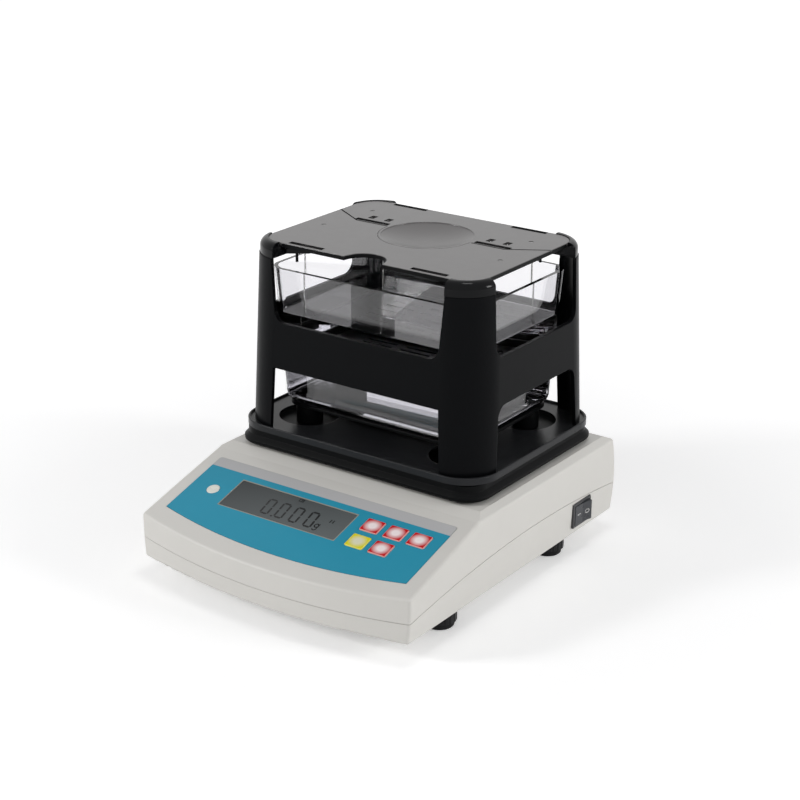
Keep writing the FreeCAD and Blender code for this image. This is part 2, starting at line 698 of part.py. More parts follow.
def below_seam(name, rise):
    """Everything under the bowed parting surface, raised by rise."""
    low = "-underside_height"
    beyond = "shell_wall * 2"
    return extrusion(name, UPRIGHT_YZ, [
        (f"{FOREMOST} - {beyond}", low),
        (f"{REAR} + {beyond}", low),
        (f"{REAR} + {beyond}", f"seam_rear_height + {rise}"),
        (REAR, f"seam_rear_height + {rise}", {"bulge": "seam_crown"}),
        (FOREMOST, f"seam_front_height + {rise}"),
        (f"{FOREMOST} - {beyond}", f"seam_front_height + {rise}"),
    ], "2 * housing_width")


def rounded_form(form):
    """The housing's outer form with its edges softened, but for the creases of the plateau."""
    radius = value("edge_rounding")
    shoulder = value("shoulder_height") + 0.1
    panel_top = value(f"{FRONT} + panel_run")

    def soft(box):
        crease = box.YLength < 0.1 and abs(box.YMin - panel_top) < 0.1
        return box.ZMax < shoulder and not crease

    item = add("Part::Fillet", "rounded_form")
    item.Base = form
    item.Edges = [
        (number, radius, radius)
        for number, edge in enumerate(form.Shape.Edges, start=1)
        if soft(edge.BoundBox)
    ]
    document.recompute()
    return item


def panel_tools():
    """What is cut through the panel: the sheet's bed and the openings for window, keys and level."""
    bed = panel_body("panel_bed")
    overlay_outline(sketch_in(bed, height="-overlay_recess"), "overlay_clearance")
    pad(bed, bed.Group[-1], "overlay_recess + shell_wall")
    openings = panel_body("panel_openings")
    through = sketch_in(openings, height="-2 * shell_wall")
    window_outline(through, "-window_clearance / 2")
    for x, up in key_places():
        rectangle(through, "key_width / 2 + key_clearance", "key_height / 2 + key_clearance", "key_rounding", x, up)
    circle(through, "level_x", "level_up", "level_radius + key_clearance")
    pad(openings, through, "3 * shell_wall")
    return bed, openings


def overlay_outline(sketch, margin):
    """The printed sheet's outline: straight sides and top, lower edge bowed towards the user."""
    half = f"(overlay_half_width + {margin})"
    low = f"overlay_corner_height - {margin}"
    outline(sketch, [
        (f"-{half}", low, {"bulge": "overlay_bow"}),
        (half, low),
        (half, f"overlay_top + {margin}", {"rounding": "overlay_rounding"}),
        (f"-{half}", f"overlay_top + {margin}", {"rounding": "overlay_rounding"}),
    ])


def window_outline(sketch, inset):
    middle_x = "(window_left + window_right) / 2"
    middle_up = "(window_bottom + window_top) / 2"
    half_width = f"(window_right - window_left) / 2 - ({inset})"
    half_height = f"(window_top - window_bottom) / 2 - ({inset})"
    rectangle(sketch, half_width, half_height, "window_rounding", middle_x, middle_up)


def key_places():
    """Three keys in the upper row and two under them, from the left."""
    upper = [(f"key_first + {column} * key_pitch", "key_upper_row") for column in range(3)]
    lower = [(f"key_first + {column} * key_pitch", "key_lower_row") for column in range(2)]
    return upper + lower


def pillar_places():
    return [
        (f"{side_x} * (housing_width / 2 - pillar_inset)", y)
        for y in (f"{FRONT} + pillar_front", f"{REAR} - pillar_rear")
        for side_x in BOTH_SIDES
    ]


def foot_places():
    return [
        (name, f"{side_x} * (housing_width / 2 - foot_inset)", f"{FRONT} + foot_front" if side_y < 0 else f"{REAR} - foot_rear")
        for name, side_x, side_y in corner_places()
    ]


def standoff_places():
    front = f"{FRONT} + main_board_front + standoff_inset"
    rear = f"{FRONT} + main_board_front + main_board_depth - standoff_inset"
    return [
        (f"{side_x} * (main_board_half_width - standoff_inset)", y)
        for y in (front, rear)
        for side_x in BOTH_SIDES
    ]


def many(name, places, radius, height, z):
    """One upright cylinder at each place, joined as a tool or as posts."""
    return join(name, *[cylinder(f"{name}_{n}", radius, height, x, y, z) for n, (x, y) in enumerate(places)])


def upper_housing(outer, middle, inner):
    """Panel, shoulder and plateau, with the screw pillars that hang from them."""
    rebate = common("rebate", middle, below_seam("under_rebate", "seam_gap + tongue_rise + tongue_clearance"))
    hollow = cut("upper_skin", outer, below_seam("under_gap", "seam_gap"), rebate, inner)
    pillar_foot = "pillar_split_height + seam_gap"
    posts = many("upper_posts", pillar_places(), "pillar_radius", "shoulder_height", pillar_foot)
    keypad_posts = panel_body("keypad_posts")
    posts_in_panel = sketch_in(keypad_posts, height=KEYPAD_TOP)
    for x, up in keypad_corners():
        circle(posts_in_panel, x, up, "standoff_radius - 1")
    pad(keypad_posts, posts_in_panel, f"-({KEYPAD_TOP}) - shell_wall / 2")
    whole = join("upper_whole", hollow, common("upper_pillars", posts, middle), keypad_posts)
    pilots = many(
        "upper_pilots", pillar_places(), "screw_radius + screw_clearance", "screw_length + screw_sink", "underside_height")
    stem_hole = cylinder("housing_stem_hole", "stem_hole_radius", "2 * plateau_rise + shell_wall", "0", STAGE,
                         "shoulder_height - plateau_rise")
    return cut("upper_housing", whole, pilots, stem_hole, *panel_tools())


def lower_housing(outer, tongue_form, inner):
    """Floor and walls under the parting line, with its tongue, pillars, bosses and posts."""
    skin = common("lower_skin", outer, below_seam("under_seam", "0"))
    tongue = common("tongue", tongue_form, below_seam("under_tongue", "tongue_rise"))
    hollow = cut("lower_hollow", join("lower_solid", skin, tongue), inner)
    pillars = many("lower_pillars", pillar_places(), "pillar_radius", "pillar_split_height - underside_height",
                   "underside_height")
    feet = [(x, y) for name, x, y in foot_places()]
    bosses = many("foot_bosses", feet, "foot_boss_radius", "shell_wall / 2 + foot_boss_height",
                  "underside_height + shell_wall / 2")
    standoffs = many("standoffs", standoff_places(), "standoff_radius", "shell_wall / 2 + main_board_standoff",
                     "underside_height + shell_wall / 2")
    whole = join("lower_whole", hollow, pillars, bosses, standoffs)
    shanks = many("lower_shanks", pillar_places(), "screw_radius + 4 * screw_clearance", "shoulder_height", "0")
    wells = many("head_wells", pillar_places(), "screw_head_radius + 4 * screw_clearance", "screw_sink", "underside_height")
    studs = many("stud_holes", feet, "foot_stud_radius + screw_clearance", "shoulder_height", "0")
    cell_holes = many("mount_screw_holes", mount_screw_places(), "cell_screw_radius + 4 * screw_clearance",
                      "shell_wall * 2", "underside_height - shell_wall / 2")
    switch_y = f"{FRONT} + switch_setback"
    seat = block("bezel_seat", "2 * switch_seat", "bezel_length + 4 * screw_clearance",
                 "bezel_rise + 4 * screw_clearance", "housing_width / 2", switch_y,
                 "switch_height - bezel_rise / 2 - 2 * screw_clearance")
    hole = block("switch_hole", "4 * shell_wall", "switch_body_length + 4 * screw_clearance",
                 "switch_body_rise + 4 * screw_clearance", "housing_width / 2", switch_y,
                 "switch_height - switch_body_rise / 2 - 2 * screw_clearance")
    inlet = cylinder("inlet_hole", "inlet_radius + 2 * screw_clearance", "6 * shell_wall", "inlet_x",
                     f"{REAR} + 3 * shell_wall", "inlet_height", UPRIGHT_XZ)
    return cut("lower_housing", whole, shanks, wells, studs, cell_holes, seat, hole, inlet)


def screw(name, x, y, head_z, radius, head_radius, head_height, length, upward=True):
    """A screw whose head stands on head_z; its shank goes up or down from there."""
    if upward:
        head = cylinder(f"{name}_head", head_radius, head_height, x, y, f"({head_z}) - ({head_height})")
        shank = cylinder(f"{name}_shank", radius, length, x, y, head_z)
    else:
        head = cylinder(f"{name}_head", head_radius, head_height, x, y, head_z)
        shank = cylinder(f"{name}_shank", radius, length, x, y, f"({head_z}) - ({length})")
    return join(name, head, shank)


def housing_screws():
    seat = "underside_height + screw_sink"
    return group("housing_screws", *[
        screw(f"housing_screw_{n}", x, y, seat, "screw_radius", "screw_head_radius", "screw_head_height", "screw_length")
        for n, (x, y) in enumerate(pillar_places())
    ])


def foot(name, x, y):
    """A levelling foot: rubber pad, and knurled knob with its stud."""
    rubber = new_body(f"foot_pad_{name}", y, "0", x)
    base = sketch_in(rubber)
    circle(base, "0", "0", "foot_pad_radius")
    pad(rubber, base, "foot_pad_height")
    dress(rubber, "Chamfer", "foot_pad_height / 5", at_height("0"))
    knob = new_body(f"foot_screw_{name}", y, "0", x)
    disc = sketch_in(knob, height="foot_pad_height")
    circle(disc, "0", "0", "foot_knob_radius")
    pad(knob, disc, "foot_knob_height")
    dress(knob, "Chamfer", "foot_flute_radius", at_height("foot_pad_height + foot_knob_height"))
    flute = sketch_in(knob, height="foot_pad_height + foot_knob_height + 1")
    circle(flute, "foot_knob_radius + foot_flute_radius / 3", "0", "foot_flute_radius")
    cutter = pocket(knob, flute)
    ring = knob.newObject("PartDesign::PolarPattern", f"{knob.Name}_flutes")
    ring.Originals = [cutter]
    ring.Axis = (flute, ["N_Axis"])
    bind(ring, "Angle", "360")
    bind(ring, "Occurrences", "foot_flutes")
    knob.Tip = ring
    document.recompute()
    stud = sketch_in(knob, height="foot_pad_height + foot_knob_height")
    circle(stud, "0", "0", "foot_stud_radius")
    pad(knob, stud, "foot_stud_length")
    return rubber, knob


# ---- panel ---------------------------------------------------------------------------------------

def panel_overlay():
    body = panel_body("panel_overlay")
    sheet_outline = sketch_in(body, height="-overlay_recess")
    overlay_outline(sheet_outline, "0")
    window_outline(sheet_outline, "0")
    for x, up in key_places():
        rectangle(sheet_outline, "key_width / 2 + key_clearance", "key_height / 2 + key_clearance", "key_rounding", x, up)
    circle(sheet_outline, "level_x", "level_up", "level_radius + key_clearance")
    pad(body, sheet_outline, "overlay_thickness")
    return body


def display_window():
    body = panel_body("display_window")
    lens = sketch_in(body, height="-shell_wall")
    window_outline(lens, "window_clearance")
    pad(body, lens, "shell_wall + overlay_thickness - overlay_recess - window_sink")
    return body


def display_module():
    """The display's frame and board, with its glass on top against the panel's inner face."""
    body = panel_body("display_module")
    carrier = sketch_in(body, height="-shell_wall - display_thickness")
    window_outline(carrier, "-display_margin")
    pad(body, carrier, "display_thickness - glass_thickness")
    glass = sketch_in(body, height="-shell_wall - glass_thickness")
    window_outline(glass, "-display_margin / 2")
    pad(body, glass, "glass_thickness")
    return body


def key(name, x, up):
    """A key cap with the flange that keeps it in the panel."""
    body = panel_body(name, x, up)
    cap = sketch_in(body, height=KEY_UNDERSIDE)
    rectangle(cap, "key_width / 2", "key_height / 2", "key_rounding")
    pad(body, cap, f"key_proud - {KEY_UNDERSIDE}")
    dress(body, "Chamfer", "key_proud / 2", at_height("key_proud"))
    flange = sketch_in(body, height=KEY_UNDERSIDE)
    rectangle(flange, "key_width / 2 + key_flange", "key_height / 2 + key_flange", "key_rounding")
    pad(body, flange, "key_flange")
    return body


def keypad_corners():
    """The posts of the keypad board, over and under the outer key columns."""
    reach = "(key_height + keypad_end_margin) / 2"
    return [
        (f"key_first + {column} * key_pitch", up)
        for column in (0, 2)
        for up in (f"key_lower_row - {reach}", f"key_upper_row + {reach}")
    ]


def keypad_board():
    """The board under the keys, with a switch dome under each."""
    body = panel_body("keypad_board")
    plate = sketch_in(body, height=f"{KEYPAD_TOP} - board_thickness")
    half_width = "key_pitch + key_width / 2 + keypad_side_margin"
    half_height = "(key_upper_row - key_lower_row + key_height) / 2 + keypad_end_margin"
    rectangle(plate, half_width, half_height, None, "key_first + key_pitch", "(key_upper_row + key_lower_row) / 2")
    pad(body, plate, "board_thickness")
    domes = sketch_in(body, height=KEYPAD_TOP)
    for x, up in key_places():
        circle(domes, x, up, "dome_radius")
    pad(body, domes, "dome_height")
    return body


def spirit_level():
    """A round vial in its cup: the cup reaches through the panel, the lens is domed."""
    body = panel_body("spirit_level", "level_x", "level_up")
    profile = sketch_in(body, "XZ_Plane")
    outline(profile, [
        ("0", "-level_depth"),
        ("level_radius", "-level_depth"),
        ("level_radius", "level_proud / 2"),
        ("level_radius - level_proud", "level_proud"),
        ("0", "level_proud"),
    ])
    revolve(body, profile)
    return body


# ---- rocker switch and power inlet ---------------------------------------------------------------

def switch_frame(name):
    """An empty body whose X runs along the side wall, whose Y is up and whose Z points outward."""
    body = add("PartDesign::Body", name)
    body.Placement = Placement(Vector(), UPRIGHT_YZ)
    return put(body, "housing_width / 2 - switch_seat", f"{FRONT} + switch_setback", "switch_height")


def switch_bezel():
    """Bezel and body of the switch, hollow for the rocker, with the holes of its pin."""
    body = switch_frame("switch_bezel")
    frame = sketch_in(body)
    rectangle(frame, "bezel_length / 2", "bezel_rise / 2", "bezel_rounding")
    pad(body, frame, "bezel_thickness")
    dress(body, "Chamfer", "bezel_thickness / 3", at_height("bezel_thickness"))
    case = sketch_in(body, height="-switch_body_depth")
    rectangle(case, "switch_body_length / 2", "switch_body_rise / 2")
    pad(body, case, "switch_body_depth")
    well = sketch_in(body, height="bezel_thickness")
    rectangle(well, "rocker_radius + rocker_clearance", "rocker_rise / 2 + rocker_clearance")
    pocket(body, well, "bezel_thickness + switch_body_depth - 1.5")
    holes = sketch_in(body, "XZ_Plane")
    circle(holes, "0", f"bezel_thickness - {PIVOT_DEPTH}", "rocker_pin_radius + rocker_pin_clearance")
    pocket(body, holes, "switch_body_rise + 2", symmetric=True)
    return body


def switch_rocker():
    """The rocker: round ends about its pin, a dished face, pressed at the front end."""
    body = switch_frame("switch_rocker")
    tilt = Rotation(Vector(0, 0, 1), -value("rocker_tilt"))
    body.Placement = Placement(Vector(), tilt.multiply(UPRIGHT_YZ))
    put(body, f"housing_width / 2 - switch_seat + bezel_thickness - {PIVOT_DEPTH}", f"{FRONT} + switch_setback",
        "switch_height")
    profile = sketch_in(body, "XZ_Plane")
    corner_x = "rocker_radius * cos(rocker_corner)"
    corner_z = "rocker_radius * sin(rocker_corner)"
    bow = "rocker_radius * (1 - cos(rocker_corner))"
    outline(profile, [
        (f"-({corner_x})", corner_z, {"bulge": bow}),
        (f"-({corner_x})", f"-({corner_z})"),
        (corner_x, f"-({corner_z})", {"bulge": bow}),
        (corner_x, corner_z),
        ("0", f"{corner_z} - rocker_dish"),
    ])
    pad(body, profile, "rocker_rise", symmetric=True)
    pin = sketch_in(body, "XZ_Plane")
    circle(pin, "0", "0", "rocker_pin_radius")
    pad(body, pin, "switch_body_rise", symmetric=True)
    return body


def power_inlet():
    """A barrel socket in the rear wall: collar outside, barrel inside, pin in its bore."""
    body = add("PartDesign::Body", "power_inlet")
    body.Placement = Placement(Vector(), Rotation(Vector(1, 0, 0), -90))
    put(body, "inlet_x", REAR, "inlet_height")
    profile = sketch_in(body, "XZ_Plane")
    outline(profile, [
        ("0", "-inlet_depth"),
        ("inlet_radius", "-inlet_depth"),
        ("inlet_radius", "0"),
        ("inlet_nut_radius", "0"),
        ("inlet_nut_radius", "inlet_nut_height"),
        ("inlet_bore", "inlet_nut_height"),
        ("inlet_bore", "-inlet_depth + 1"),
        ("inlet_pin", "-inlet_depth + 1"),
        ("inlet_pin", "-inlet_nut_height"),
        ("0", "-inlet_nut_height"),
    ])
    revolve(body, profile)
    return body


# ---- inside --------------------------------------------------------------------------------------

def mount_screw_places():
    """Two screws at the cell's fixed end, at its front."""
    y = f"{STAGE} - cell_length / 2 + cell_end / 2"
    return [(f"{side} * cell_screw_spread", y) for side in BOTH_SIDES]


def spider_screw_places():
    """Two screws at the cell's free end, at its rear."""
    y = f"{STAGE} + cell_length / 2 - cell_end / 2"
    return [(f"{side} * cell_screw_spread", y) for side in BOTH_SIDES]


def cell_mount():
    plate = block("mount_plate", "cell_width + 2 * mount_margin", "cell_end", "mount_height", "0",
                  f"{STAGE} - cell_length / 2 + cell_end / 2", FLOOR)
    holes = many("mount_holes", mount_screw_places(), "cell_screw_radius + 4 * screw_clearance", "4 * mount_height", "0")
    return cut("cell_mount", plate, holes)


def load_cell():
    """A single-point weighing cell: a bar weakened by two joined cross holes."""
    body = new_body("load_cell", STAGE, CELL_BOTTOM)
    side = sketch_in(body, "YZ_Plane")
    rectangle(side, "cell_length / 2", "cell_height / 2", None, "0", "cell_height / 2")
    pad(body, side, "cell_width", symmetric=True)
    holes = sketch_in(body, "YZ_Plane")
    for end in BOTH_SIDES:
        circle(holes, f"{end} * cell_bore_spread", "cell_height / 2", "cell_bore")
    pocket(body, holes, "2 * cell_width", symmetric=True)
    slit = sketch_in(body, "YZ_Plane")
    rectangle(slit, "cell_bore_spread", "cell_slit / 2", None, "0", "cell_height / 2")
    pocket(body, slit, "2 * cell_width", symmetric=True)
    low = sketch_in(body)
    for x, y in mount_screw_places():
        circle(low, x, f"({y}) - {STAGE}", "cell_screw_radius + screw_clearance")
    pocket(body, low, "cell_height * 3 / 4", upward=True)
    high = sketch_in(body, height="cell_height")
    for x, y in spider_screw_places():
        circle(high, x, f"({y}) - {STAGE}", "cell_screw_radius + cell_screw_slack")
    pocket(body, high, "cell_height * 3 / 4")
    return body


def cell_screws(name, places, head_z, length, upward):
    return group(name, *[
        screw(f"{name}_{n}", x, y, head_z, "cell_screw_radius", "cell_screw_radius * 1.7", "cell_screw_radius",
              length, upward)
        for n, (x, y) in enumerate(places)
    ])


def cell_spider():
    """The plate on the cell's free end that reaches back over the cell to the middle of the stage."""
    body = new_body("cell_spider", STAGE, SPIDER_BOTTOM)
    foot_outline = sketch_in(body)
    rectangle(foot_outline, "cell_width / 2", "cell_end / 2", None, "0", "cell_length / 2 - cell_end / 2")
    pad(body, foot_outline, "spider_foot")
    plate = sketch_in(body, height="spider_foot")
    rectangle(plate, "spider_half_width", "cell_length / 2", "spider_rounding")
    pad(body, plate, "spider_thickness")
    holes = sketch_in(body, height="spider_foot + spider_thickness")
    for x, y in spider_screw_places():
        circle(holes, x, f"({y}) - {STAGE}", "cell_screw_radius + 4 * screw_clearance")
    pocket(body, holes)
    return body


def platform_stem():
    """The stem from the spider up through housing and drip base to the tray."""
    body = new_body("platform_stem", STAGE, SPIDER_TOP)
    length = f"({TRAY_UNDERSIDE} - {SPIDER_TOP})"
    profile = sketch_in(body, "XZ_Plane")
    outline(profile, [
        ("0", "0"),
        ("stem_flange_radius", "0"),
        ("stem_flange_radius", "stem_flange_height"),
        ("stem_radius", "stem_flange_height"),
        ("stem_radius", f"{length} - stem_flange_height"),
        ("stem_flange_radius", f"{length} - stem_flange_height"),
        ("stem_flange_radius", length),
        ("0", length),
    ])
    revolve(body, profile)
    return body


def main_board():
    """The main board with its plug rows, regulator and processor."""
    body = new_body("main_board", f"{FRONT} + main_board_front + main_board_depth / 2", f"{FLOOR} + main_board_standoff")
    plate = sketch_in(body)
    rectangle(plate, "main_board_half_width", "main_board_depth / 2")
    pad(body, plate, "board_thickness")
    parts = sketch_in(body, height="board_thickness")
    rectangle(parts, "7", "7", None, "-8", "2")
    rectangle(parts, "12", "3", None, "35", "20")
    rectangle(parts, "9", "3", None, "-40", "20")
    rectangle(parts, "5", "8", None, "-46", "-12")
    pad(body, parts, "3 * board_thickness")
    return body


# ---- stage ---------------------------------------------------------------------------------------

def drip_base():
    """The fixed black base under the tray: plinth, sloping brim and neck, hollow from below."""
    body = new_body("drip_base", STAGE)
    plinth = sketch_in(body, height=PLATEAU)
    rectangle(plinth, "brim_half_width - plinth_inset", "brim_half_depth - plinth_inset", "brim_corner - plinth_inset")
    pad(body, plinth, "plinth_height")
    brim = sketch_in(body, height=BRIM_BOTTOM)
    rectangle(brim, "brim_half_width", "brim_half_depth", "brim_corner")
    pad(body, brim, "brim_height")
    reach = value("brim_half_width - plinth_inset")
    low, high = at_height(BRIM_BOTTOM), at_height(NECK_BOTTOM)
    half_width, half_depth = value("brim_half_width"), value("brim_half_depth")
    corner = value("brim_corner")

    def outer(box):
        along_side = abs(abs(box.XMin) - half_width) < 0.01 or abs(abs(box.XMax) - half_width) < 0.01
        along_end = abs(abs(box.YMin) - half_depth) < 0.01 or abs(abs(box.YMax) - half_depth) < 0.01
        return along_side or along_end

    dress(body, "Chamfer", "brim_slope - 0.01", high)
    dress(body, "Fillet", "brim_rounding", lambda box: low(box) and outer(box))
    neck = sketch_in(body, height=NECK_BOTTOM)
    rectangle(neck, "brim_half_width - brim_slope", "brim_half_depth - brim_slope", "brim_corner - brim_slope")
    pad(body, neck, "neck_height")
    hollow = sketch_in(body, height=PLATEAU)
    inset = "(plinth_inset + drip_wall)"
    rectangle(hollow, f"brim_half_width - {inset}", f"brim_half_depth - {inset}", f"brim_corner - {inset}")
    pocket(body, hollow, f"{DRIP_TOP} - {PLATEAU} - drip_wall", upward=True)
    hole = sketch_in(body, height=DRIP_TOP)
    circle(hole, "0", "0", "stem_hole_radius")
    pocket(body, hole)
    return body


def weighing_tray():
    """The tray: a thin floor in an upturned rim, with four round holes for the tank support."""
    body = new_body("weighing_tray", STAGE)
    skirt_foot = f"{TRAY_UNDERSIDE} - tray_skirt"
    whole = sketch_in(body, height=skirt_foot)
    rectangle(whole, "tray_half_width", "tray_half_depth", "tray_corner")
    pad(body, whole, "tray_skirt + tray_floor + tray_rim_rise")
    dress(body, "Chamfer", "tray_wall / 3", at_height("tray_floor_height + tray_rim_rise"))
    inner = ("tray_half_width - tray_wall", "tray_half_depth - tray_wall", "tray_corner - tray_wall")
    top = sketch_in(body, height="tray_floor_height")
    rectangle(top, *inner)
    pocket(body, top, "2 * tray_rim_rise", upward=True)
    bottom = sketch_in(body, height=TRAY_UNDERSIDE)
    rectangle(bottom, *inner)
    pocket(body, bottom, "2 * tray_skirt")
    holes = sketch_in(body, height="tray_floor_height")
    for name, side_x, side_y in corner_places():
        circle(holes, f"{side_x} * leg_spread_x", f"{side_y} * leg_spread_y", "leg_hole_radius")
    pocket(body, holes)
    return body


def tank_support():
    """A plate on four round legs that stand on the drip base, clear of the tray."""
    body = new_body("tank_support", STAGE)
    plate_foot = "(tank_foot_height - support_thickness)"
    plate = sketch_in(body, height=plate_foot)
    rectangle(plate, "support_half_width", "support_half_depth", "tank_corner")
    pad(body, plate, "support_thickness")
    legs = sketch_in(body, height=DRIP_TOP)
    for name, side_x, side_y in corner_places():
        circle(legs, f"{side_x} * leg_spread_x", f"{side_y} * leg_spread_y", "leg_radius")
    pad(body, legs, f"{plate_foot} - {DRIP_TOP}")
    return body


def water_tank():
    """A clear tank: a straight foot with a rounded lower edge, and walls that widen towards the rim."""
    body = new_body("water_tank", STAGE)
    band_top = "(tank_foot_height + tank_foot_band)"
    rim = "(tank_foot_height + tank_height)"
    foot_outline = sketch_in(body, height="tank_foot_height")
    rectangle(foot_outline, "tank_foot_half_width", "tank_foot_half_depth", "tank_corner")
    pad(body, foot_outline, "tank_foot_band")
    dress(body, "Fillet", "tank_foot_rounding", at_height("tank_foot_height"))
    low = sketch_in(body, height=band_top)
    rectangle(low, "tank_foot_half_width", "tank_foot_half_depth", "tank_corner")
    high = sketch_in(body, height=rim)
    rectangle(high, "tank_rim_half_width", "tank_rim_half_depth", "tank_corner")
    loft(body, low, high)
    inner_low = sketch_in(body, height=band_top)
    inner_foot = ("tank_foot_half_width - tank_wall", "tank_foot_half_depth - tank_wall", "tank_corner - tank_wall")
    rectangle(inner_low, *inner_foot)
    inner_high = sketch_in(body, height=rim)
    rectangle(inner_high, "tank_rim_half_width - tank_wall", "tank_rim_half_depth - tank_wall", "tank_corner - tank_wall")
    loft(body, inner_low, inner_high, "SubtractiveLoft")
    well = sketch_in(body, height=band_top)
    rectangle(well, *inner_foot)
    pocket(body, well, "tank_foot_band - tank_floor")
    return body


# ---- measuring frame -----------------------------------------------------------------------------

def frame_windows(body):
    """The windows over and under the belt, through front and rear and through both sides."""
    above = "2 * frame_top_height"
    below = "tray_floor_height / 2"
    rise = f"({above} - belt_top_height)"
    widen = f"((upper_window_head - upper_window_foot) / (frame_top_height - belt_top_height) * {rise})"
    rounding = {"rounding": "window_corner"}
    front = sketch_in(body, "XZ_Plane")
    outline(front, [
        ("-upper_window_foot", "belt_top_height", rounding),
        ("upper_window_foot", "belt_top_height", rounding),
        (f"upper_window_foot + {widen}", above),
        (f"-(upper_window_foot + {widen})", above),
    ])
    drop = f"(belt_bottom_height - {below})"
    spread = f"((lower_window_foot - lower_window_head) / (belt_bottom_height - tray_floor_height) * {drop})"
    outline(front, [
        (f"-(lower_window_head + {spread})", below),
        (f"lower_window_head + {spread}", below),
        ("lower_window_head", "belt_bottom_height"),
        ("-lower_window_head", "belt_bottom_height"),
    ])
    pocket(body, front, "4 * frame_foot_half_depth", symmetric=True)
    side = sketch_in(body, "YZ_Plane")
    outline(side, [
        ("-side_upper_window", "belt_top_height", rounding),
        ("side_upper_window", "belt_top_height", rounding),
        ("side_upper_window", above),
        ("-side_upper_window", above),
    ])
    lean = "((side_lower_window_foot - side_lower_window_head) / (belt_bottom_height - tray_floor_height))"
    outline(side, [
        (f"-(side_lower_window_head + {lean} * {drop})", below),
        (f"side_lower_window_head + {lean} * {drop}", below),
        ("side_lower_window_head", "belt_bottom_height", rounding),
        ("-side_lower_window_head", "belt_bottom_height", rounding),
    ])
    pocket(body, side, "4 * frame_foot_half_width", symmetric=True)


def post_frame():
    """Four hollow quarter-round posts and the belt that joins them, in one moulding."""
    body = new_body("post_frame", STAGE)
    sections = []
    for inset in ("0", "frame_wall"):
        low = sketch_in(body, height="tray_floor_height")
        rectangle(low, f"frame_foot_half_width - {inset}", f"frame_foot_half_depth - {inset}", f"frame_corner - {inset}")
        high = sketch_in(body, height="frame_top_height")
        rectangle(high, f"{FRAME_TOP_HALF_WIDTH} - {inset}", f"{FRAME_TOP_HALF_DEPTH} - {inset}", f"frame_corner - {inset}")
        sections.append((low, high))
    loft(body, *sections[0])
    loft(body, *sections[1], "SubtractiveLoft")
    frame_windows(body)
    return body


def cap_plan(sketch, inset):
    """A cap from above: two straight inner sides and the round of the frame's corner."""
    near_x, near_y = f"(cap_inner_x + {inset})", f"(cap_inner_y + {inset})"
    radius = f"(frame_corner - cap_step - {inset})"
    centre_x = f"({FRAME_TOP_HALF_WIDTH} - frame_corner)"
    centre_y = f"({FRAME_TOP_HALF_DEPTH} - frame_corner)"
    outline(sketch, [
        (near_x, near_y, {"rounding": f"cap_inner_rounding - {inset}"}),
        (f"{centre_x} + sqrt({radius} ^ 2 - ({near_y} - {centre_y}) ^ 2)", near_y, {"radius": radius}),
        (near_x, f"{centre_y} + sqrt({radius} ^ 2 - ({near_x} - {centre_x}) ^ 2)"),
    ])


def post_cap():
    """The rear right cap: a hollow corner piece with a rounded shoulder, a bed for the top plate and
    an arm under it that carries a hanger wire and a peg."""
    body = new_body("post_cap_rear_right", STAGE)
    plan = sketch_in(body, height="frame_top_height")
    cap_plan(plan, "0")
    pad(body, plan, "cap_top_height - frame_top_height")
    top = at_height("cap_top_height")
    long_enough = value("cap_inner_rounding")

    def outer(box):
        return top(box) and min(box.XLength, box.YLength) > long_enough

    dress(body, "Fillet", "cap_rounding", outer)
    bed = sketch_in(body, height=PLATE_UNDERSIDE)
    rectangle(bed, "plate_half_width + plate_clearance", "plate_half_depth + plate_clearance",
              "plate_corner + plate_clearance")
    pocket(body, bed, "cap_top_height", upward=True)
    hollow = sketch_in(body, height="frame_top_height")
    cap_plan(hollow, "cap_wall")
    pocket(body, hollow, f"{PLATE_UNDERSIDE} - cap_ceiling - cap_rounding / 2 - frame_top_height", upward=True)
    half_arm = "arm_width / 2"
    tip_x, tip_y = f"(hanger_x - arm_tip * {HANGER_X})", f"(hanger_y - arm_tip * {HANGER_Y})"
    root_x, root_y = f"(hanger_x + arm_root * {HANGER_X})", f"(hanger_y + arm_root * {HANGER_Y})"
    arm = sketch_in(body, height="frame_top_height")
    outline(arm, [
        (f"{tip_x} - {half_arm} * {HANGER_Y}", f"{tip_y} + {half_arm} * {HANGER_X}", {"rounding": "arm_width / 4"}),
        (f"{tip_x} + {half_arm} * {HANGER_Y}", f"{tip_y} - {half_arm} * {HANGER_X}", {"rounding": "arm_width / 4"}),
        (f"{root_x} + {half_arm} * {HANGER_Y}", f"{root_y} - {half_arm} * {HANGER_X}"),
        (f"{root_x} - {half_arm} * {HANGER_Y}", f"{root_y} + {half_arm} * {HANGER_X}"),
    ])
    pad(body, arm, "arm_thickness")
    peg = sketch_in(body, height="frame_top_height - peg_length")
    circle(peg, f"hanger_x + peg_offset * {HANGER_X}", f"hanger_y + peg_offset * {HANGER_Y}", "peg_radius")
    pad(body, peg, "peg_length")
    hole = sketch_in(body, height="frame_top_height + arm_thickness")
    circle(hole, "hanger_x", "hanger_y", "wire_radius + wire_clearance")
    pocket(body, hole)
    return body


def mirrored(name, source, normal, base_y):
    item = add("Part::Mirroring", name)
    item.Source = source
    item.Normal = normal
    bind(item, "Base.y", base_y)
    document.recompute()
    return item


def post_caps():
    """The four caps: one modelled, three mirrored across the stage's middle planes."""
    rear_right = post_cap()
    rear_left = mirrored("post_cap_rear_left", rear_right, Vector(1, 0, 0), "0")
    front_right = mirrored("post_cap_front_right", rear_right, Vector(0, 1, 0), STAGE)
    front_left = mirrored("post_cap_front_left", front_right, Vector(1, 0, 0), "0")
    return [front_left, front_right, rear_left, rear_right]


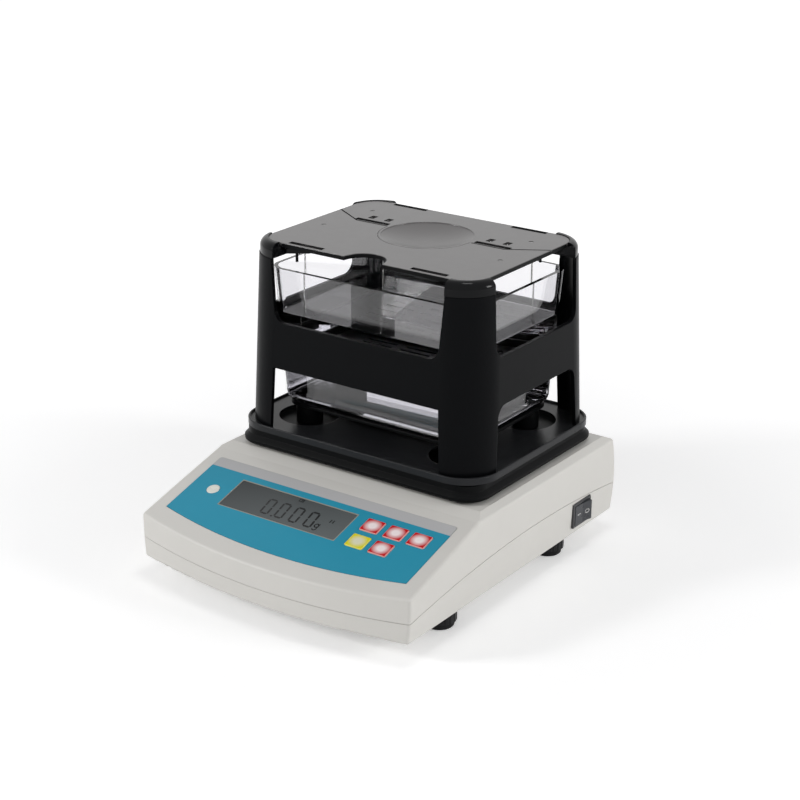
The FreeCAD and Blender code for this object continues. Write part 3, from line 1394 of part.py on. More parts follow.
def rear_part_outline(sketch, shift):
    """The rear part of the top plate: its stepped front edge runs into the dish."""
    edge = f"part_edge_y - {shift}"
    elbow = f"part_elbow_y - {shift}"
    step = f"part_step_y - {shift}"
    corner = {"rounding": "plate_corner"}
    outline(sketch, [
        ("-plate_half_width", edge),
        ("-part_elbow_x", elbow),
        ("-part_step_x", step),
        ("part_step_x", step),
        ("part_elbow_x", elbow),
        ("plate_half_width", edge),
        ("plate_half_width", "plate_half_depth", corner),
        ("-plate_half_width", "plate_half_depth", corner),
    ])


def slots(sketch, middle_y):
    for side in BOTH_SIDES:
        rectangle(sketch, "(slot_outer_x - slot_inner_x) / 2", "slot_width / 2", None,
                  f"{side} * (slot_outer_x + slot_inner_x) / 2", middle_y)


def top_plate_rear():
    """The rear part of the top plate with the weighing dish."""
    body = new_body("top_plate_rear", STAGE)
    plan = sketch_in(body, height=PLATE_UNDERSIDE)
    rear_part_outline(plan, "0")
    pad(body, plan, "plate_thickness")
    rim = sketch_in(body, height=PLATE_UNDERSIDE)
    circle(rim, "0", "dish_y", "dish_radius")
    pad(body, rim, "plate_thickness")
    openings = sketch_in(body, height=PLATE_TOP)
    circle(openings, "0", "dish_y", "dish_radius - plate_thickness")
    slots(openings, "slot_rear_y")
    slots(openings, "slot_middle_y")
    for side in BOTH_SIDES:
        for x in ("port_inner_x", "port_outer_x"):
            rectangle(openings, "port_width / 2", "port_depth / 2", None, f"{side} * {x}", "port_y")
        circle(openings, f"{side} * rear_dot_x", "rear_dot_y", "dot_radius")
    pocket(body, openings)
    bowl = sketch_in(body, "YZ_Plane")
    bind(bowl, "AttachmentOffset.Base.x", "dish_y")
    outline(bowl, [
        ("0", f"{PLATE_UNDERSIDE} - dish_depth"),
        ("dish_flat", f"{PLATE_UNDERSIDE} - dish_depth", {"bulge": "dish_depth / 4"}),
        ("dish_radius", PLATE_UNDERSIDE),
        ("dish_radius", PLATE_TOP, {"bulge": "-dish_depth / 4"}),
        ("dish_flat", f"{PLATE_TOP} - dish_depth"),
        ("0", f"{PLATE_TOP} - dish_depth"),
    ])
    revolve(body, bowl)
    return body


def top_plate_front():
    """The front part of the top plate, with a finger notch and a round bite for the dish."""
    body = new_body("top_plate_front", STAGE)
    plan = sketch_in(body, height=PLATE_UNDERSIDE)
    rectangle(plan, "plate_half_width", "plate_half_depth", "plate_corner")
    pad(body, plan, "plate_thickness")
    behind = sketch_in(body, height=PLATE_TOP)
    rear_part_outline(behind, "plate_gap")
    pocket(body, behind)
    for x, y, radius in (("0", "dish_y", "dish_radius + plate_gap"), ("0", "-plate_half_depth", "notch_radius")):
        bite = sketch_in(body, height=PLATE_TOP)
        circle(bite, x, y, radius)
        pocket(body, bite)
    openings = sketch_in(body, height=PLATE_TOP)
    slots(openings, "slot_front_y")
    for side in BOTH_SIDES:
        circle(openings, f"{side} * front_dot_x", "front_dot_y", "dot_radius")
    pocket(body, openings)
    return body


def strip_places(sign):
    """The front and the rear screw of the strip on one side."""
    return [(f"{sign} * front_dot_x", "front_dot_y"), (f"{sign} * rear_dot_x", "rear_dot_y")]


def plate_strips():
    """Two strips under the plate that carry its parts as one."""
    strips = []
    for name, side in (("left", -1), ("right", 1)):
        body = new_body(f"strip_{name}", STAGE)
        (front_x, front_y), (rear_x, rear_y) = strip_places(side)
        plan = sketch_in(body, height=f"{PLATE_UNDERSIDE} - strip_thickness")
        low, high = f"{front_y} - strip_margin", f"{rear_y} + strip_margin"
        outline(plan, [
            (f"{front_x} - strip_half_width", low),
            (f"{front_x} + strip_half_width", low),
            (f"{rear_x} + strip_half_width", high),
            (f"{rear_x} - strip_half_width", high),
        ])
        pad(body, plan, "strip_thickness")
        holes = sketch_in(body, height=PLATE_UNDERSIDE)
        for x, y in strip_places(side):
            circle(holes, x, y, "strip_screw_radius + screw_clearance")
        pocket(body, holes)
        strips.append(body)
    return group("plate_strips", *strips)


def plate_screws():
    """The sunk screws that hold the strips."""
    places = [(x, f"{STAGE} + {y}") for side in BOTH_SIDES for x, y in strip_places(side)]
    return group("plate_screws", *[
        screw(f"plate_screw_{n}", x, y, PLATE_UNDERSIDE, "strip_screw_radius", "dot_radius - screw_clearance",
              "plate_thickness - strip_screw_sink", "strip_thickness", False)
        for n, (x, y) in enumerate(places)
    ])


def hanger_wires():
    """Four wires from the arms down to the basket, each with a bead on its arm."""
    wires = []
    bead_z = "frame_top_height + arm_thickness"
    for name, side_x, side_y in corner_places():
        x, y = f"{side_x} * hanger_x", f"{STAGE} + {side_y} * hanger_y"
        wire = cylinder(f"wire_{name}", "wire_radius", f"{bead_z} - {BASKET_TOP}", x, y, BASKET_TOP)
        bead = cylinder(f"bead_{name}", "wire_bead_radius", "wire_bead_radius", x, y, bead_z)
        wires.append(join(f"hanger_{name}", wire, bead))
    return group("hanger_wires", *wires)


def sample_basket():
    """A shallow basket with drain slots, hung on the wires under water."""
    body = new_body("sample_basket", STAGE)
    floor = sketch_in(body, height="basket_floor_height")
    rectangle(floor, "basket_half_width", "basket_half_depth", "basket_corner")
    pad(body, floor, "basket_floor + basket_rim_rise")
    inside = sketch_in(body, height=BASKET_TOP)
    rectangle(inside, "basket_half_width - basket_rim_wall", "basket_half_depth - basket_rim_wall",
              "basket_corner - basket_rim_wall")
    pocket(body, inside, "2 * basket_rim_rise", upward=True)
    drains = sketch_in(body, height=BASKET_TOP)
    for column in (-1, 0, 1):
        for row in range(-3, 4):
            rectangle(drains, "basket_slot_length / 2", "basket_slot_width / 2", None,
                      f"{column} * basket_slot_pitch_x", f"{row} * basket_slot_pitch_y")
    pocket(body, drains)
    return body


# ---- assembly ------------------------------------------------------------------------------------

def build():
    """Every node of the instrument, each a document object labelled with its node's name."""
    outer = rounded_form(housing_form("outer_form", "0"))
    middle = housing_form("middle_form", "shell_wall / 2")
    tongue_form = housing_form("tongue_form", "shell_wall / 2 + tongue_clearance")
    inner = housing_form("inner_form", "shell_wall")
    nodes = [
        upper_housing(outer, middle, inner),
        lower_housing(outer, tongue_form, inner),
        housing_screws(),
        panel_overlay(),
        display_window(),
        display_module(),
        keypad_board(),
        spirit_level(),
        switch_bezel(),
        switch_rocker(),
        power_inlet(),
        cell_mount(),
        load_cell(),
        cell_screws("cell_mount_screws", mount_screw_places(), "underside_height", "mount_height + cell_height / 2", True),
        cell_screws("spider_screws", spider_screw_places(), SPIDER_TOP, "spider_thickness + cell_height / 2", False),
        cell_spider(),
        platform_stem(),
        main_board(),
        drip_base(),
        weighing_tray(),
        tank_support(),
        water_tank(),
        post_frame(),
        top_plate_front(),
        top_plate_rear(),
        plate_strips(),
        plate_screws(),
        hanger_wires(),
        sample_basket(),
    ]
    nodes += [key(f"key_{number}", x, up) for number, (x, up) in enumerate(key_places(), start=1)]
    for name, x, y in foot_places():
        nodes += foot(name, x, y)
    nodes += post_caps()
    return nodes


def check(nodes):
    """Stop unless every object is up to date and every node is a valid shape of its own."""
    for item in document.Objects:
        if "Invalid" in item.State or "Error" in item.State:
            raise ValueError(f"{item.Name} is not valid: {item.State}")
    for node in nodes:
        if node.Shape.isNull() or not node.Shape.isValid() or not node.Shape.Solids:
            raise ValueError(f"{node.Name} has no valid solid")


def write(nodes):
    os.makedirs("parts", exist_ok=True)
    for node in nodes:
        node.Label = node.Name
        node.Shape.exportStep(os.path.join("parts", f"{node.Label}.step"))


all_nodes = build()
document.recompute()
check(all_nodes)
write(all_nodes)
for node in all_nodes:
    box = node.Shape.BoundBox
    print(f"{node.Label:24} {len(node.Shape.Solids)} solid {node.Shape.Volume:12.1f} mm3  "
          f"x {box.XMin:8.2f} {box.XMax:8.2f}  y {box.YMin:8.2f} {box.YMax:8.2f}  z {box.ZMin:7.2f} {box.ZMax:7.2f}")
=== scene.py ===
"""Benchtop density meter: finishes, water, display digits and printed marks around the CAD frame.

Metres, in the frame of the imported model: +X is the user's right, +Y the rear, +Z up.
"""

import math

import bpy
from mathutils import Matrix, Vector
from mathutils.bvhtree import BVHTree


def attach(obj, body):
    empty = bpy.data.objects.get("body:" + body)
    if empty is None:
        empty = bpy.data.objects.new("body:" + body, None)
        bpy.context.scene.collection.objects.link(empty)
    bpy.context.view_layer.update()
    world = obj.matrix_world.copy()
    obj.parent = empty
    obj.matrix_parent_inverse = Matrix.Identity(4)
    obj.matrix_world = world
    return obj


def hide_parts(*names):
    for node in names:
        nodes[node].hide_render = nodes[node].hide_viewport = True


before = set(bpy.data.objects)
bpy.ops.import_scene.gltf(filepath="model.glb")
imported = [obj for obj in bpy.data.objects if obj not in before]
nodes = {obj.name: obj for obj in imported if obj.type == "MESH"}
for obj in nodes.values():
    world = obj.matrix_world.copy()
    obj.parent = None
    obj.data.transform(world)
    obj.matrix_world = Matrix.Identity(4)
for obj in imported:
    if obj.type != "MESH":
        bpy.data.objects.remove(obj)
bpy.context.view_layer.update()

MM = 0.001

# The sloping panel: a point at its foot, and the direction up the slope.
PANEL_SLOPE = math.radians(16.06)
PANEL_ORIGIN = Vector((0, -109.2 * MM, 40.75 * MM))
PANEL_UP = Vector((0, math.cos(PANEL_SLOPE), math.sin(PANEL_SLOPE)))
PANEL_OUT = Vector((0, -math.sin(PANEL_SLOPE), math.cos(PANEL_SLOPE)))

# Middle of the stage, where tray, tank and frame stand.
STAGE_Y = 40.35 * MM


# ---- node materials ------------------------------------------------------------------------------

# The range that holds most of a noise texture's values.
NOISE_LOW, NOISE_HIGH = 0.3, 0.7
BEVEL_SAMPLES = 6
COAT_ROUGHNESS = 0.15
# An edge stays sharp where its faces meet at more than this angle.
CAD_CREASE = math.radians(28)


def linear(red, green, blue):
    """A colour written as sRGB, 0 to 255, in linear values."""
    def channel(value):
        value /= 255
        return value / 12.92 if value <= 0.04045 else ((value + 0.055) / 1.055) ** 2.4
    return (channel(red), channel(green), channel(blue), 1.0)


def scaled(colour, factor):
    return tuple(min(1.0, part * factor) for part in colour[:3]) + (1.0,)


class Nodes:
    """Builds one node tree; sockets are passed on as inputs of the next node."""

    def __init__(self, owner):
        owner.use_nodes = True
        self.tree = owner.node_tree
        self.tree.nodes.clear()

    def add(self, kind, inputs=None, **settings):
        node = self.tree.nodes.new("ShaderNode" + kind)
        for key, value in settings.items():
            setattr(node, key, value)
        for key, value in (inputs or {}).items():
            if isinstance(value, bpy.types.NodeSocket):
                self.tree.links.new(value, node.inputs[key])
            else:
                node.inputs[key].default_value = value
        return node

    def math(self, operation, first, second=0.0):
        return self.add("Math", {0: first, 1: second}, operation=operation).outputs[0]

    def place(self):
        return self.add("TexCoord").outputs["Object"]

    def noise(self, place, scale, detail=2.0, roughness=0.5):
        inputs = {"Vector": place, "Scale": scale, "Detail": detail, "Roughness": roughness}
        return self.add("TexNoise", inputs).outputs[0]

    def spread(self, value, low, high, start=0.0, end=1.0):
        """value, from start to end, as a number from low to high."""
        inputs = {"Value": value, "From Min": start, "From Max": end, "To Min": low, "To Max": high}
        return self.add("MapRange", inputs, clamp=True).outputs["Result"]

    def mix(self, factor, first, second):
        inputs = {"Factor": factor, 6: first, 7: second}
        return self.add("Mix", inputs, data_type="RGBA").outputs[2]

    def along(self, place, direction, origin):
        """Distance of place from origin along a direction."""
        dot = self.add("VectorMath", {0: place, 1: direction}, operation="DOT_PRODUCT")
        return self.math("SUBTRACT", dot.outputs["Value"], origin.dot(Vector(direction)))

    def beyond(self, value, middle, half):
        """How far value lies outside a strip round a middle."""
        offset = self.math("ABSOLUTE", self.math("SUBTRACT", value, middle))
        return self.math("SUBTRACT", offset, half)


def finish(name, colour, roughness, *, variation=0.03, rough_spread=0.05, blotch=25.0, grain=2500.0,
           grain_height=0.01, round_edges=0.0, specular=0.5, metallic=0.0, coat=0.0, paint=None):
    """A procedural finish. paint(nodes, place, colour socket) draws further colours over the base.
    blotch and grain are noise scales. Lengths are in millimetres: grain_height and round_edges."""
    material = bpy.data.materials.new(name)
    net = Nodes(material)
    place = net.place()
    clouds = net.spread(net.noise(place, blotch, 4.0, 0.6), 0.0, 1.0, NOISE_LOW, NOISE_HIGH)
    tone = net.mix(clouds, scaled(colour, 1 - variation), scaled(colour, 1 + variation))
    if paint:
        tone = paint(net, place, tone)
    least, most = max(0.0, roughness - rough_spread), min(1.0, roughness + rough_spread)
    smear = net.noise(place, blotch * 6, 3.0)
    bump = {"Strength": 1.0, "Distance": grain_height * MM, "Height": net.noise(place, grain, 2.0)}
    if round_edges:
        bevel = net.add("Bevel", {"Radius": round_edges * MM}, samples=BEVEL_SAMPLES)
        bump["Normal"] = bevel.outputs[0]
    shader = net.add("BsdfPrincipled", {
        "Base Color": tone,
        "Roughness": net.spread(smear, least, most, NOISE_LOW, NOISE_HIGH),
        "Normal": net.add("Bump", bump).outputs[0],
        "Metallic": metallic,
        "Specular IOR Level": specular,
        "Coat Weight": coat,
        "Coat Roughness": COAT_ROUGHNESS,
    })
    net.add("OutputMaterial", {"Surface": shader.outputs[0]})
    return material


def clear(name, colour, ior, unevenness, rough_spread):
    """A clear material whose surface is uneven by a length in millimetres."""
    material = bpy.data.materials.new(name)
    net = Nodes(material)
    place = net.place()
    bump = {"Strength": 1.0, "Distance": unevenness * MM, "Height": net.noise(place, 90.0, 2.0)}
    shader = net.add("BsdfPrincipled", {
        "Base Color": net.mix(net.noise(place, 12.0, 2.0), colour, scaled(colour, 0.97)),
        "Roughness": net.spread(net.noise(place, 60.0, 3.0), 0.0, rough_spread),
        "Normal": net.add("Bump", bump).outputs[0],
        "IOR": ior,
        "Transmission Weight": 1.0,
    })
    net.add("OutputMaterial", {"Surface": shader.outputs[0]})
    return material


def dress(material, *names):
    """Gives CAD nodes their finish."""
    for name in names:
        mesh = nodes[name].data
        mesh.materials.clear()
        mesh.materials.append(material)
        mesh.set_sharp_from_angle(angle=CAD_CREASE)


# ---- printed panel -------------------------------------------------------------------------------

# Along the panel: across from its middle, and up the slope from its foot.
BAND_START = 56.6 * MM
BAND_BLUR = 0.05 * MM
WINDOW_MIDDLE = (-16.25 * MM, 38.5 * MM)
WINDOW_HALF = (43.75 * MM, 12.6 * MM)
WINDOW_OUTLINE = 0.7 * MM
OUTLINE_BLUR = 0.1 * MM
KEY_HALF = (6.4 * MM, 5.65 * MM)
KEY_COLUMNS = (42.1 * MM, 58.7 * MM, 75.3 * MM)
KEY_ROWS = (45.7 * MM, 30.5 * MM)

# In shares of a key's half size: where its light patch fades, and where its rim starts.
PATCH_FADE = (0.35, 0.98)
RIM_START = (0.91, 0.94)

OVERLAY_BLUE = linear(47, 147, 175)
BAND_GREY = linear(184, 184, 185)
CUT_EDGE = linear(150, 148, 138)
# The display's painted shade runs from the dark colour at its upper left corner to the light one at its
# lower right.
DISPLAY_DARK, DISPLAY_LIGHT = linear(62, 66, 67), linear(104, 109, 110)

# Each print: the key's own colour, the patch in its middle, its rim.
RED = (linear(200, 20, 30), linear(248, 234, 234), linear(232, 168, 160))
YELLOW = (linear(226, 216, 40), linear(226, 224, 196), linear(236, 230, 110))
# Number, column, row and print.
KEYS = ((1, 0, 0, RED), (2, 1, 0, RED), (3, 2, 0, RED), (4, 0, 1, YELLOW), (5, 1, 1, RED))


def panel_place(net, place):
    """Across and up the panel, as two sockets."""
    return net.along(place, (1, 0, 0), PANEL_ORIGIN), net.along(place, PANEL_UP, PANEL_ORIGIN)


def print_overlay(net, place, tone):
    """The grey band along the top, and the light cut edge round the window."""
    across, up = panel_place(net, place)
    band = net.spread(up, 0.0, 1.0, BAND_START - BAND_BLUR, BAND_START + BAND_BLUR)
    tone = net.mix(band, tone, BAND_GREY)
    beside = net.beyond(across, WINDOW_MIDDLE[0], WINDOW_HALF[0])
    over = net.beyond(up, WINDOW_MIDDLE[1], WINDOW_HALF[1])
    gap = net.math("MAXIMUM", beside, over)
    line = net.spread(gap, 1.0, 0.0, WINDOW_OUTLINE - OUTLINE_BLUR, WINDOW_OUTLINE)
    return net.mix(line, tone, CUT_EDGE)


def painted_display_shade(net, place, tone):
    """Painted shade: the display is darker towards its upper left corner; it takes nothing from the base
    tone.
    """
    across, up = panel_place(net, place)
    (left, foot), (right, head) = (
        [middle + side * half for middle, half in zip(WINDOW_MIDDLE, WINDOW_HALF)] for side in (-1, 1)
    )
    run = net.math("MULTIPLY", net.spread(across, 0.0, 1.0, left, right), 0.65)
    drop = net.math("MULTIPLY", net.spread(up, 1.0, 0.0, foot, head), 0.35)
    return net.mix(net.math("ADD", run, drop), DISPLAY_DARK, DISPLAY_LIGHT)


def key_print(column, row, patch_colour, rim):
    """The print on a key: a soft light patch in the middle and a thin light line round the edge."""
    def paint(net, place, tone):
        across, up = panel_place(net, place)
        side = net.math("DIVIDE", net.math("SUBTRACT", across, KEY_COLUMNS[column]), KEY_HALF[0])
        rise = net.math("DIVIDE", net.math("SUBTRACT", up, KEY_ROWS[row]), KEY_HALF[1])
        squares = net.math("ADD", net.math("MULTIPLY", side, side), net.math("MULTIPLY", rise, rise))
        tone = net.mix(net.spread(net.math("SQRT", squares), 1.0, 0.0, *PATCH_FADE), tone, patch_colour)
        edge = net.math("MAXIMUM", net.math("ABSOLUTE", side), net.math("ABSOLUTE", rise))
        return net.mix(net.spread(edge, 0.0, 1.0, *RIM_START), tone, rim)
    return paint


# ---- finishes of the CAD nodes -------------------------------------------------------------------

FRAME_BLACK = linear(9, 10, 12)

dress(finish("housing_grey", linear(213, 211, 206), 0.42, variation=0.012, grain=1800,
             grain_height=0.012, round_edges=0.5, specular=0.4), "upper_housing", "lower_housing")

dress(finish("overlay_film", OVERLAY_BLUE, 0.38, variation=0.02, grain=3500, grain_height=0.004,
             round_edges=0.2, specular=0.12, paint=print_overlay), "panel_overlay")
# The display's colour is painted shade, darker towards its upper left corner.
dress(finish("display_face", DISPLAY_DARK, 0.22, variation=0.0, grain=900, grain_height=0.001,
             specular=0.12, paint=painted_display_shade), "display_window")
dress(finish("level_disc", linear(224, 224, 214), 0.3, round_edges=0.3, coat=0.3), "spirit_level")
for number, column, row, (key_colour, key_patch, key_rim) in KEYS:
    dress(finish(f"key_print_{number}", key_colour, 0.38, variation=0.02, grain=3500,
                 grain_height=0.004, round_edges=0.3, specular=0.15,
                 paint=key_print(column, row, key_patch, key_rim)), f"key_{number}")

dress(finish("switch_plastic", linear(56, 56, 58), 0.35, variation=0.05, round_edges=0.3,
             specular=0.35), "switch_bezel")
dress(finish("rocker_plastic", linear(56, 58, 62), 0.3, variation=0.05, round_edges=0.3,
             specular=0.35), "switch_rocker")
dress(finish("inlet_plastic", linear(22, 22, 23), 0.4, variation=0.06, round_edges=0.2), "power_inlet")

dress(finish("frame_black", FRAME_BLACK, 0.34, variation=0.08, rough_spread=0.02, grain=2200,
             grain_height=0.006, round_edges=0.5, specular=0.05), "post_frame")
dress(finish("cap_black", FRAME_BLACK, 0.13, variation=0.08, rough_spread=0.02, grain=2200,
             grain_height=0.002, round_edges=0.4, specular=0.13),
      "post_cap_front_left", "post_cap_front_right", "post_cap_rear_left", "post_cap_rear_right")
stage_black = finish("stage_black", linear(9, 10, 11), 0.4, variation=0.08, rough_spread=0.03,
                     grain=2200, grain_height=0.008, round_edges=0.5, specular=0.07)
dress(stage_black, "drip_base", "tank_support", "plate_strips")
dress(finish("tray_black", linear(36, 37, 39), 0.26, variation=0.05, rough_spread=0.01, grain=2200,
             grain_height=0.002, round_edges=0.4, specular=0.15), "weighing_tray")
dress(finish("plate_grey", linear(74, 71, 71), 0.3, rough_spread=0.01, grain=2600,
             grain_height=0.003, round_edges=0.7, specular=1.0), "top_plate_front", "top_plate_rear")
dress(finish("basket_black", linear(16, 17, 18), 0.35, variation=0.08, round_edges=0.3,
             specular=0.3), "sample_basket")
dress(clear("tank_acrylic", (0.94, 0.935, 0.955, 1.0), 1.49, 0.003, 0.002), "water_tank")

dress(finish("wire_steel", linear(198, 198, 196), 0.16, metallic=1.0, grain=1500,
             grain_height=0.002), "hanger_wires")
dress(finish("zinc_steel", linear(150, 151, 150), 0.34, variation=0.1, metallic=1.0,
             round_edges=0.15),
      "plate_screws", "housing_screws", "cell_mount_screws", "spider_screws", "cell_mount")
dress(finish("machined_aluminium", linear(196, 197, 198), 0.36, variation=0.04, metallic=1.0,
             round_edges=0.2), "load_cell", "cell_spider", "platform_stem")
dress(finish("circuit_board", linear(24, 88, 48), 0.4, variation=0.12, grain=900,
             grain_height=0.02), "display_module", "keypad_board", "main_board")
for corner in ("front_left", "front_right", "rear_left", "rear_right"):
    dress(finish(f"foot_plastic_{corner}", linear(16, 16, 18), 0.42, variation=0.08,
                 round_edges=0.2, specular=0.25), f"foot_screw_{corner}")
    dress(finish(f"foot_rubber_{corner}", linear(20, 20, 21), 0.75, variation=0.1, grain=1400,
                 grain_height=0.04, round_edges=0.3, specular=0.2), f"foot_pad_{corner}")


# ---- pieces made here ----------------------------------------------------------------------------

PIECE_CREASE = math.radians(40)


def piece(name, vertices, faces, material, body, smooth=True):
    """A mesh object that rides a body."""
    mesh = bpy.data.meshes.new(name)
    mesh.from_pydata([tuple(vertex) for vertex in vertices], [], faces)
    mesh.validate()
    mesh.materials.append(material)
    if smooth:
        mesh.shade_smooth()
        mesh.set_sharp_from_angle(angle=PIECE_CREASE)
    piece_object = bpy.data.objects.new(name, mesh)
    bpy.context.scene.collection.objects.link(piece_object)
    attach(piece_object, body)
    return piece_object


def arc(centre, radius_x, radius_y, start, end, steps=14):
    """Points along an arc between two angles in degrees."""
    angles = [math.radians(start + (end - start) * step / steps) for step in range(steps + 1)]
    return [(centre[0] + radius_x * math.cos(a), centre[1] + radius_y * math.sin(a)) for a in angles]


def ribbon(points, width):
    """Quads along a line of points, as separate flat outlines."""
    outlines = []
    for (x0, y0), (x1, y1) in zip(points, points[1:]):
        length = math.hypot(x1 - x0, y1 - y0)
        ux, uy = (x1 - x0) / length * width / 2, (y1 - y0) / length * width / 2
        ax, ay, bx, by = x0 - ux * 0.5, y0 - uy * 0.5, x1 + ux * 0.5, y1 + uy * 0.5
        outlines.append([(ax + uy, ay - ux), (bx + uy, by - ux), (bx - uy, by + ux), (ax - uy, ay + ux)])
    return outlines


def on_stage(points, height):
    """Points (x, y from the stage's middle) at one height."""
    return [Vector((x, STAGE_Y + y, height)) for x, y in points]


def rounded_ring(half_x, half_y, corner, height, steps=8):
    """Points of a rounded rectangle round the stage's middle."""
    points = []
    for quarter, (sign_x, sign_y) in enumerate(((1, 1), (-1, 1), (-1, -1), (1, -1))):
        for step in range(steps + 1):
            angle = math.pi / 2 * (quarter + step / steps)
            points.append(Vector((
                sign_x * (half_x - corner) + corner * math.cos(angle),
                STAGE_Y + sign_y * (half_y - corner) + corner * math.sin(angle),
                height,
            )))
    return points


def stacked(rings):
    """Vertices and faces of a closed body through rings of equal length, capped at both ends."""
    count = len(rings[0])
    vertices = [point for ring in rings for point in ring]
    faces = [tuple(reversed(range(count)))]
    for level in range(len(rings) - 1):
        low, high = level * count, (level + 1) * count
        faces += [(low + i, low + (i + 1) % count, high + (i + 1) % count, high + i) for i in range(count)]
    faces.append(tuple(range((len(rings) - 1) * count, len(rings) * count)))
    return vertices, faces


def merged(bodies):
    """Vertices and faces of several bodies as one list each."""
    vertices, faces = [], []
    for body_vertices, body_faces in bodies:
        faces += [tuple(len(vertices) + corner for corner in face) for face in body_faces]
        vertices += body_vertices
    return vertices, faces


# The tank's support, with a shallow recess in its plate, so that the tank rests on a border and a
# film of air shines under its floor.
SUPPORT_HALF = (69 * MM, 49 * MM)
SUPPORT_CORNER = 12 * MM
SUPPORT_TOP = 90.7 * MM
SUPPORT_THICKNESS = 2.3 * MM
SUPPORT_BORDER = 6 * MM
SUPPORT_RECESS = 0.4 * MM
SUPPORT_EDGE = 0.4 * MM
LEG_PLACE = (57.5 * MM, 37 * MM)
LEG_RADIUS = 8.5 * MM
LEG_FOOT = 75.5 * MM
LEG_SIDES = 48


def support_body():
    def ring(inset, height):
        half_x, half_y = SUPPORT_HALF
        return rounded_ring(half_x - inset, half_y - inset, SUPPORT_CORNER - inset, height)

    foot = SUPPORT_TOP - SUPPORT_THICKNESS
    plate = stacked([
        ring(SUPPORT_EDGE, foot),
        ring(0, foot + SUPPORT_EDGE),
        ring(0, SUPPORT_TOP - SUPPORT_EDGE),
        ring(SUPPORT_EDGE, SUPPORT_TOP),
        ring(SUPPORT_BORDER, SUPPORT_TOP),
        ring(SUPPORT_BORDER + SUPPORT_RECESS, SUPPORT_TOP - SUPPORT_RECESS),
    ])
    legs = []
    for side_x, side_y in ((1, 1), (-1, 1), (-1, -1), (1, -1)):
        middle = (side_x * LEG_PLACE[0], side_y * LEG_PLACE[1])
        circle = arc(middle, LEG_RADIUS, LEG_RADIUS, 0, 360, LEG_SIDES)[:-1]
        legs.append(stacked([on_stage(circle, LEG_FOOT), on_stage(circle, foot + SUPPORT_EDGE)]))
    return merged([plate] + legs)


support = piece("support_plate_and_legs", *support_body(), stage_black, "base")
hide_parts("tank_support")


# Water: it reaches a little into the tank's walls, so that no film of air lies between the two, and
# climbs them at its edge.
WATER_LEVEL = 149.5 * MM
TANK_FOOT = SUPPORT_TOP
TANK_FLOOR = 4 * MM
TANK_BAND = 9 * MM
TANK_RIM = 178.7 * MM
TANK_WALL = 2.6 * MM
TANK_HALF_FOOT = (71.1 * MM, 51.1 * MM)
TANK_HALF_RIM = (76.1 * MM, 55 * MM)
TANK_INNER_CORNER = 9.4 * MM
SOAK = 0.3 * MM
CLIMB = 0.9 * MM
# Distance from the wall and height above the water's level, in millimetres.
MENISCUS = ((0.5, 0.75), (1.0, 0.42), (1.6, 0.18), (2.4, 0.05), (3.4, 0.0))
# A ring this far below the level keeps the meniscus from shading the wall below it.
SHADE_STOP = 15 * MM


def wet_ring(height, inset=0.0):
    """The water's outline at a height. The tank flares above the band at its foot."""
    share = max(0.0, (height - TANK_FOOT - TANK_BAND) / (TANK_RIM - TANK_FOOT - TANK_BAND))
    half_x, half_y = (
        foot + (rim - foot) * share - TANK_WALL + SOAK - inset
        for foot, rim in zip(TANK_HALF_FOOT, TANK_HALF_RIM)
    )
    return rounded_ring(half_x, half_y, TANK_INNER_CORNER + SOAK - inset, height)


def water_body():
    heights = (
        TANK_FOOT + TANK_FLOOR - SOAK, TANK_FOOT + TANK_BAND, WATER_LEVEL - SHADE_STOP, WATER_LEVEL + CLIMB,
    )
    rings = [wet_ring(height) for height in heights]
    for inset, climb in MENISCUS:
        ring = wet_ring(WATER_LEVEL, inset * MM)
        rings.append([Vector((point.x, point.y, WATER_LEVEL + climb * MM)) for point in ring])
    return stacked(rings)


water_material = clear("water", (0.95, 0.95, 0.97, 1.0), 1.333, 0.003, 0.003)
water = piece("water", *water_body(), water_material, "base")


# Trim: the dark lip round the top plate's edges, between the caps, broken where the plate is parted.
# Plan sizes are from the stage's middle.
PLATE_HALF = (79 * MM, 57.7 * MM)
PLATE_TOP = 196.67 * MM
NOTCH_RADIUS = 14 * MM
LIP_END = (61 * MM, 43 * MM)
LIP_FOOT = PLATE_TOP - 2.7 * MM
LIP_HEAD = PLATE_TOP - 0.35 * MM
LIP_WALL = 0.9 * MM
LIP_PROUD = 0.12 * MM
PARTING_Y = 25.3 * MM
PARTING_HALF = 0.4 * MM


def lip_lines():
    """The lip's lines, run so that the outside is to their right."""
    (half_x, half_y), (end_x, end_y) = PLATE_HALF, LIP_END
    front_part, rear_part = PARTING_Y - PARTING_HALF, PARTING_Y + PARTING_HALF
    notch = arc((0, -half_y), NOTCH_RADIUS, NOTCH_RADIUS, 180, 0, 28)
    return [
        [(-end_x, -half_y)] + notch + [(end_x, -half_y)],
        [(end_x, half_y), (-end_x, half_y)],
        [(half_x, -end_y), (half_x, front_part)],
        [(half_x, rear_part), (half_x, end_y)],
        [(-half_x, end_y), (-half_x, rear_part)],
        [(-half_x, front_part), (-half_x, -end_y)],
    ]


def lip_wall(points):
    """An upright wall along a line of points, proud to its right."""
    profile = ((LIP_PROUD, LIP_FOOT), (LIP_PROUD, LIP_HEAD), (-LIP_WALL, LIP_HEAD), (-LIP_WALL, LIP_FOOT))
    sections = []
    for index, (x, y) in enumerate(points):
        (x0, y0), (x1, y1) = points[max(0, index - 1)], points[min(len(points) - 1, index + 1)]
        length = math.hypot(x1 - x0, y1 - y0)
        out_x, out_y = (y1 - y0) / length, (x0 - x1) / length
        sections.append([
            Vector((x + out_x * reach, STAGE_Y + y + out_y * reach, height)) for reach, height in profile
        ])
    return stacked(sections)


plate_lip = piece("plate_lip", *merged(map(lip_wall, lip_lines())), stage_black, "top_plate")
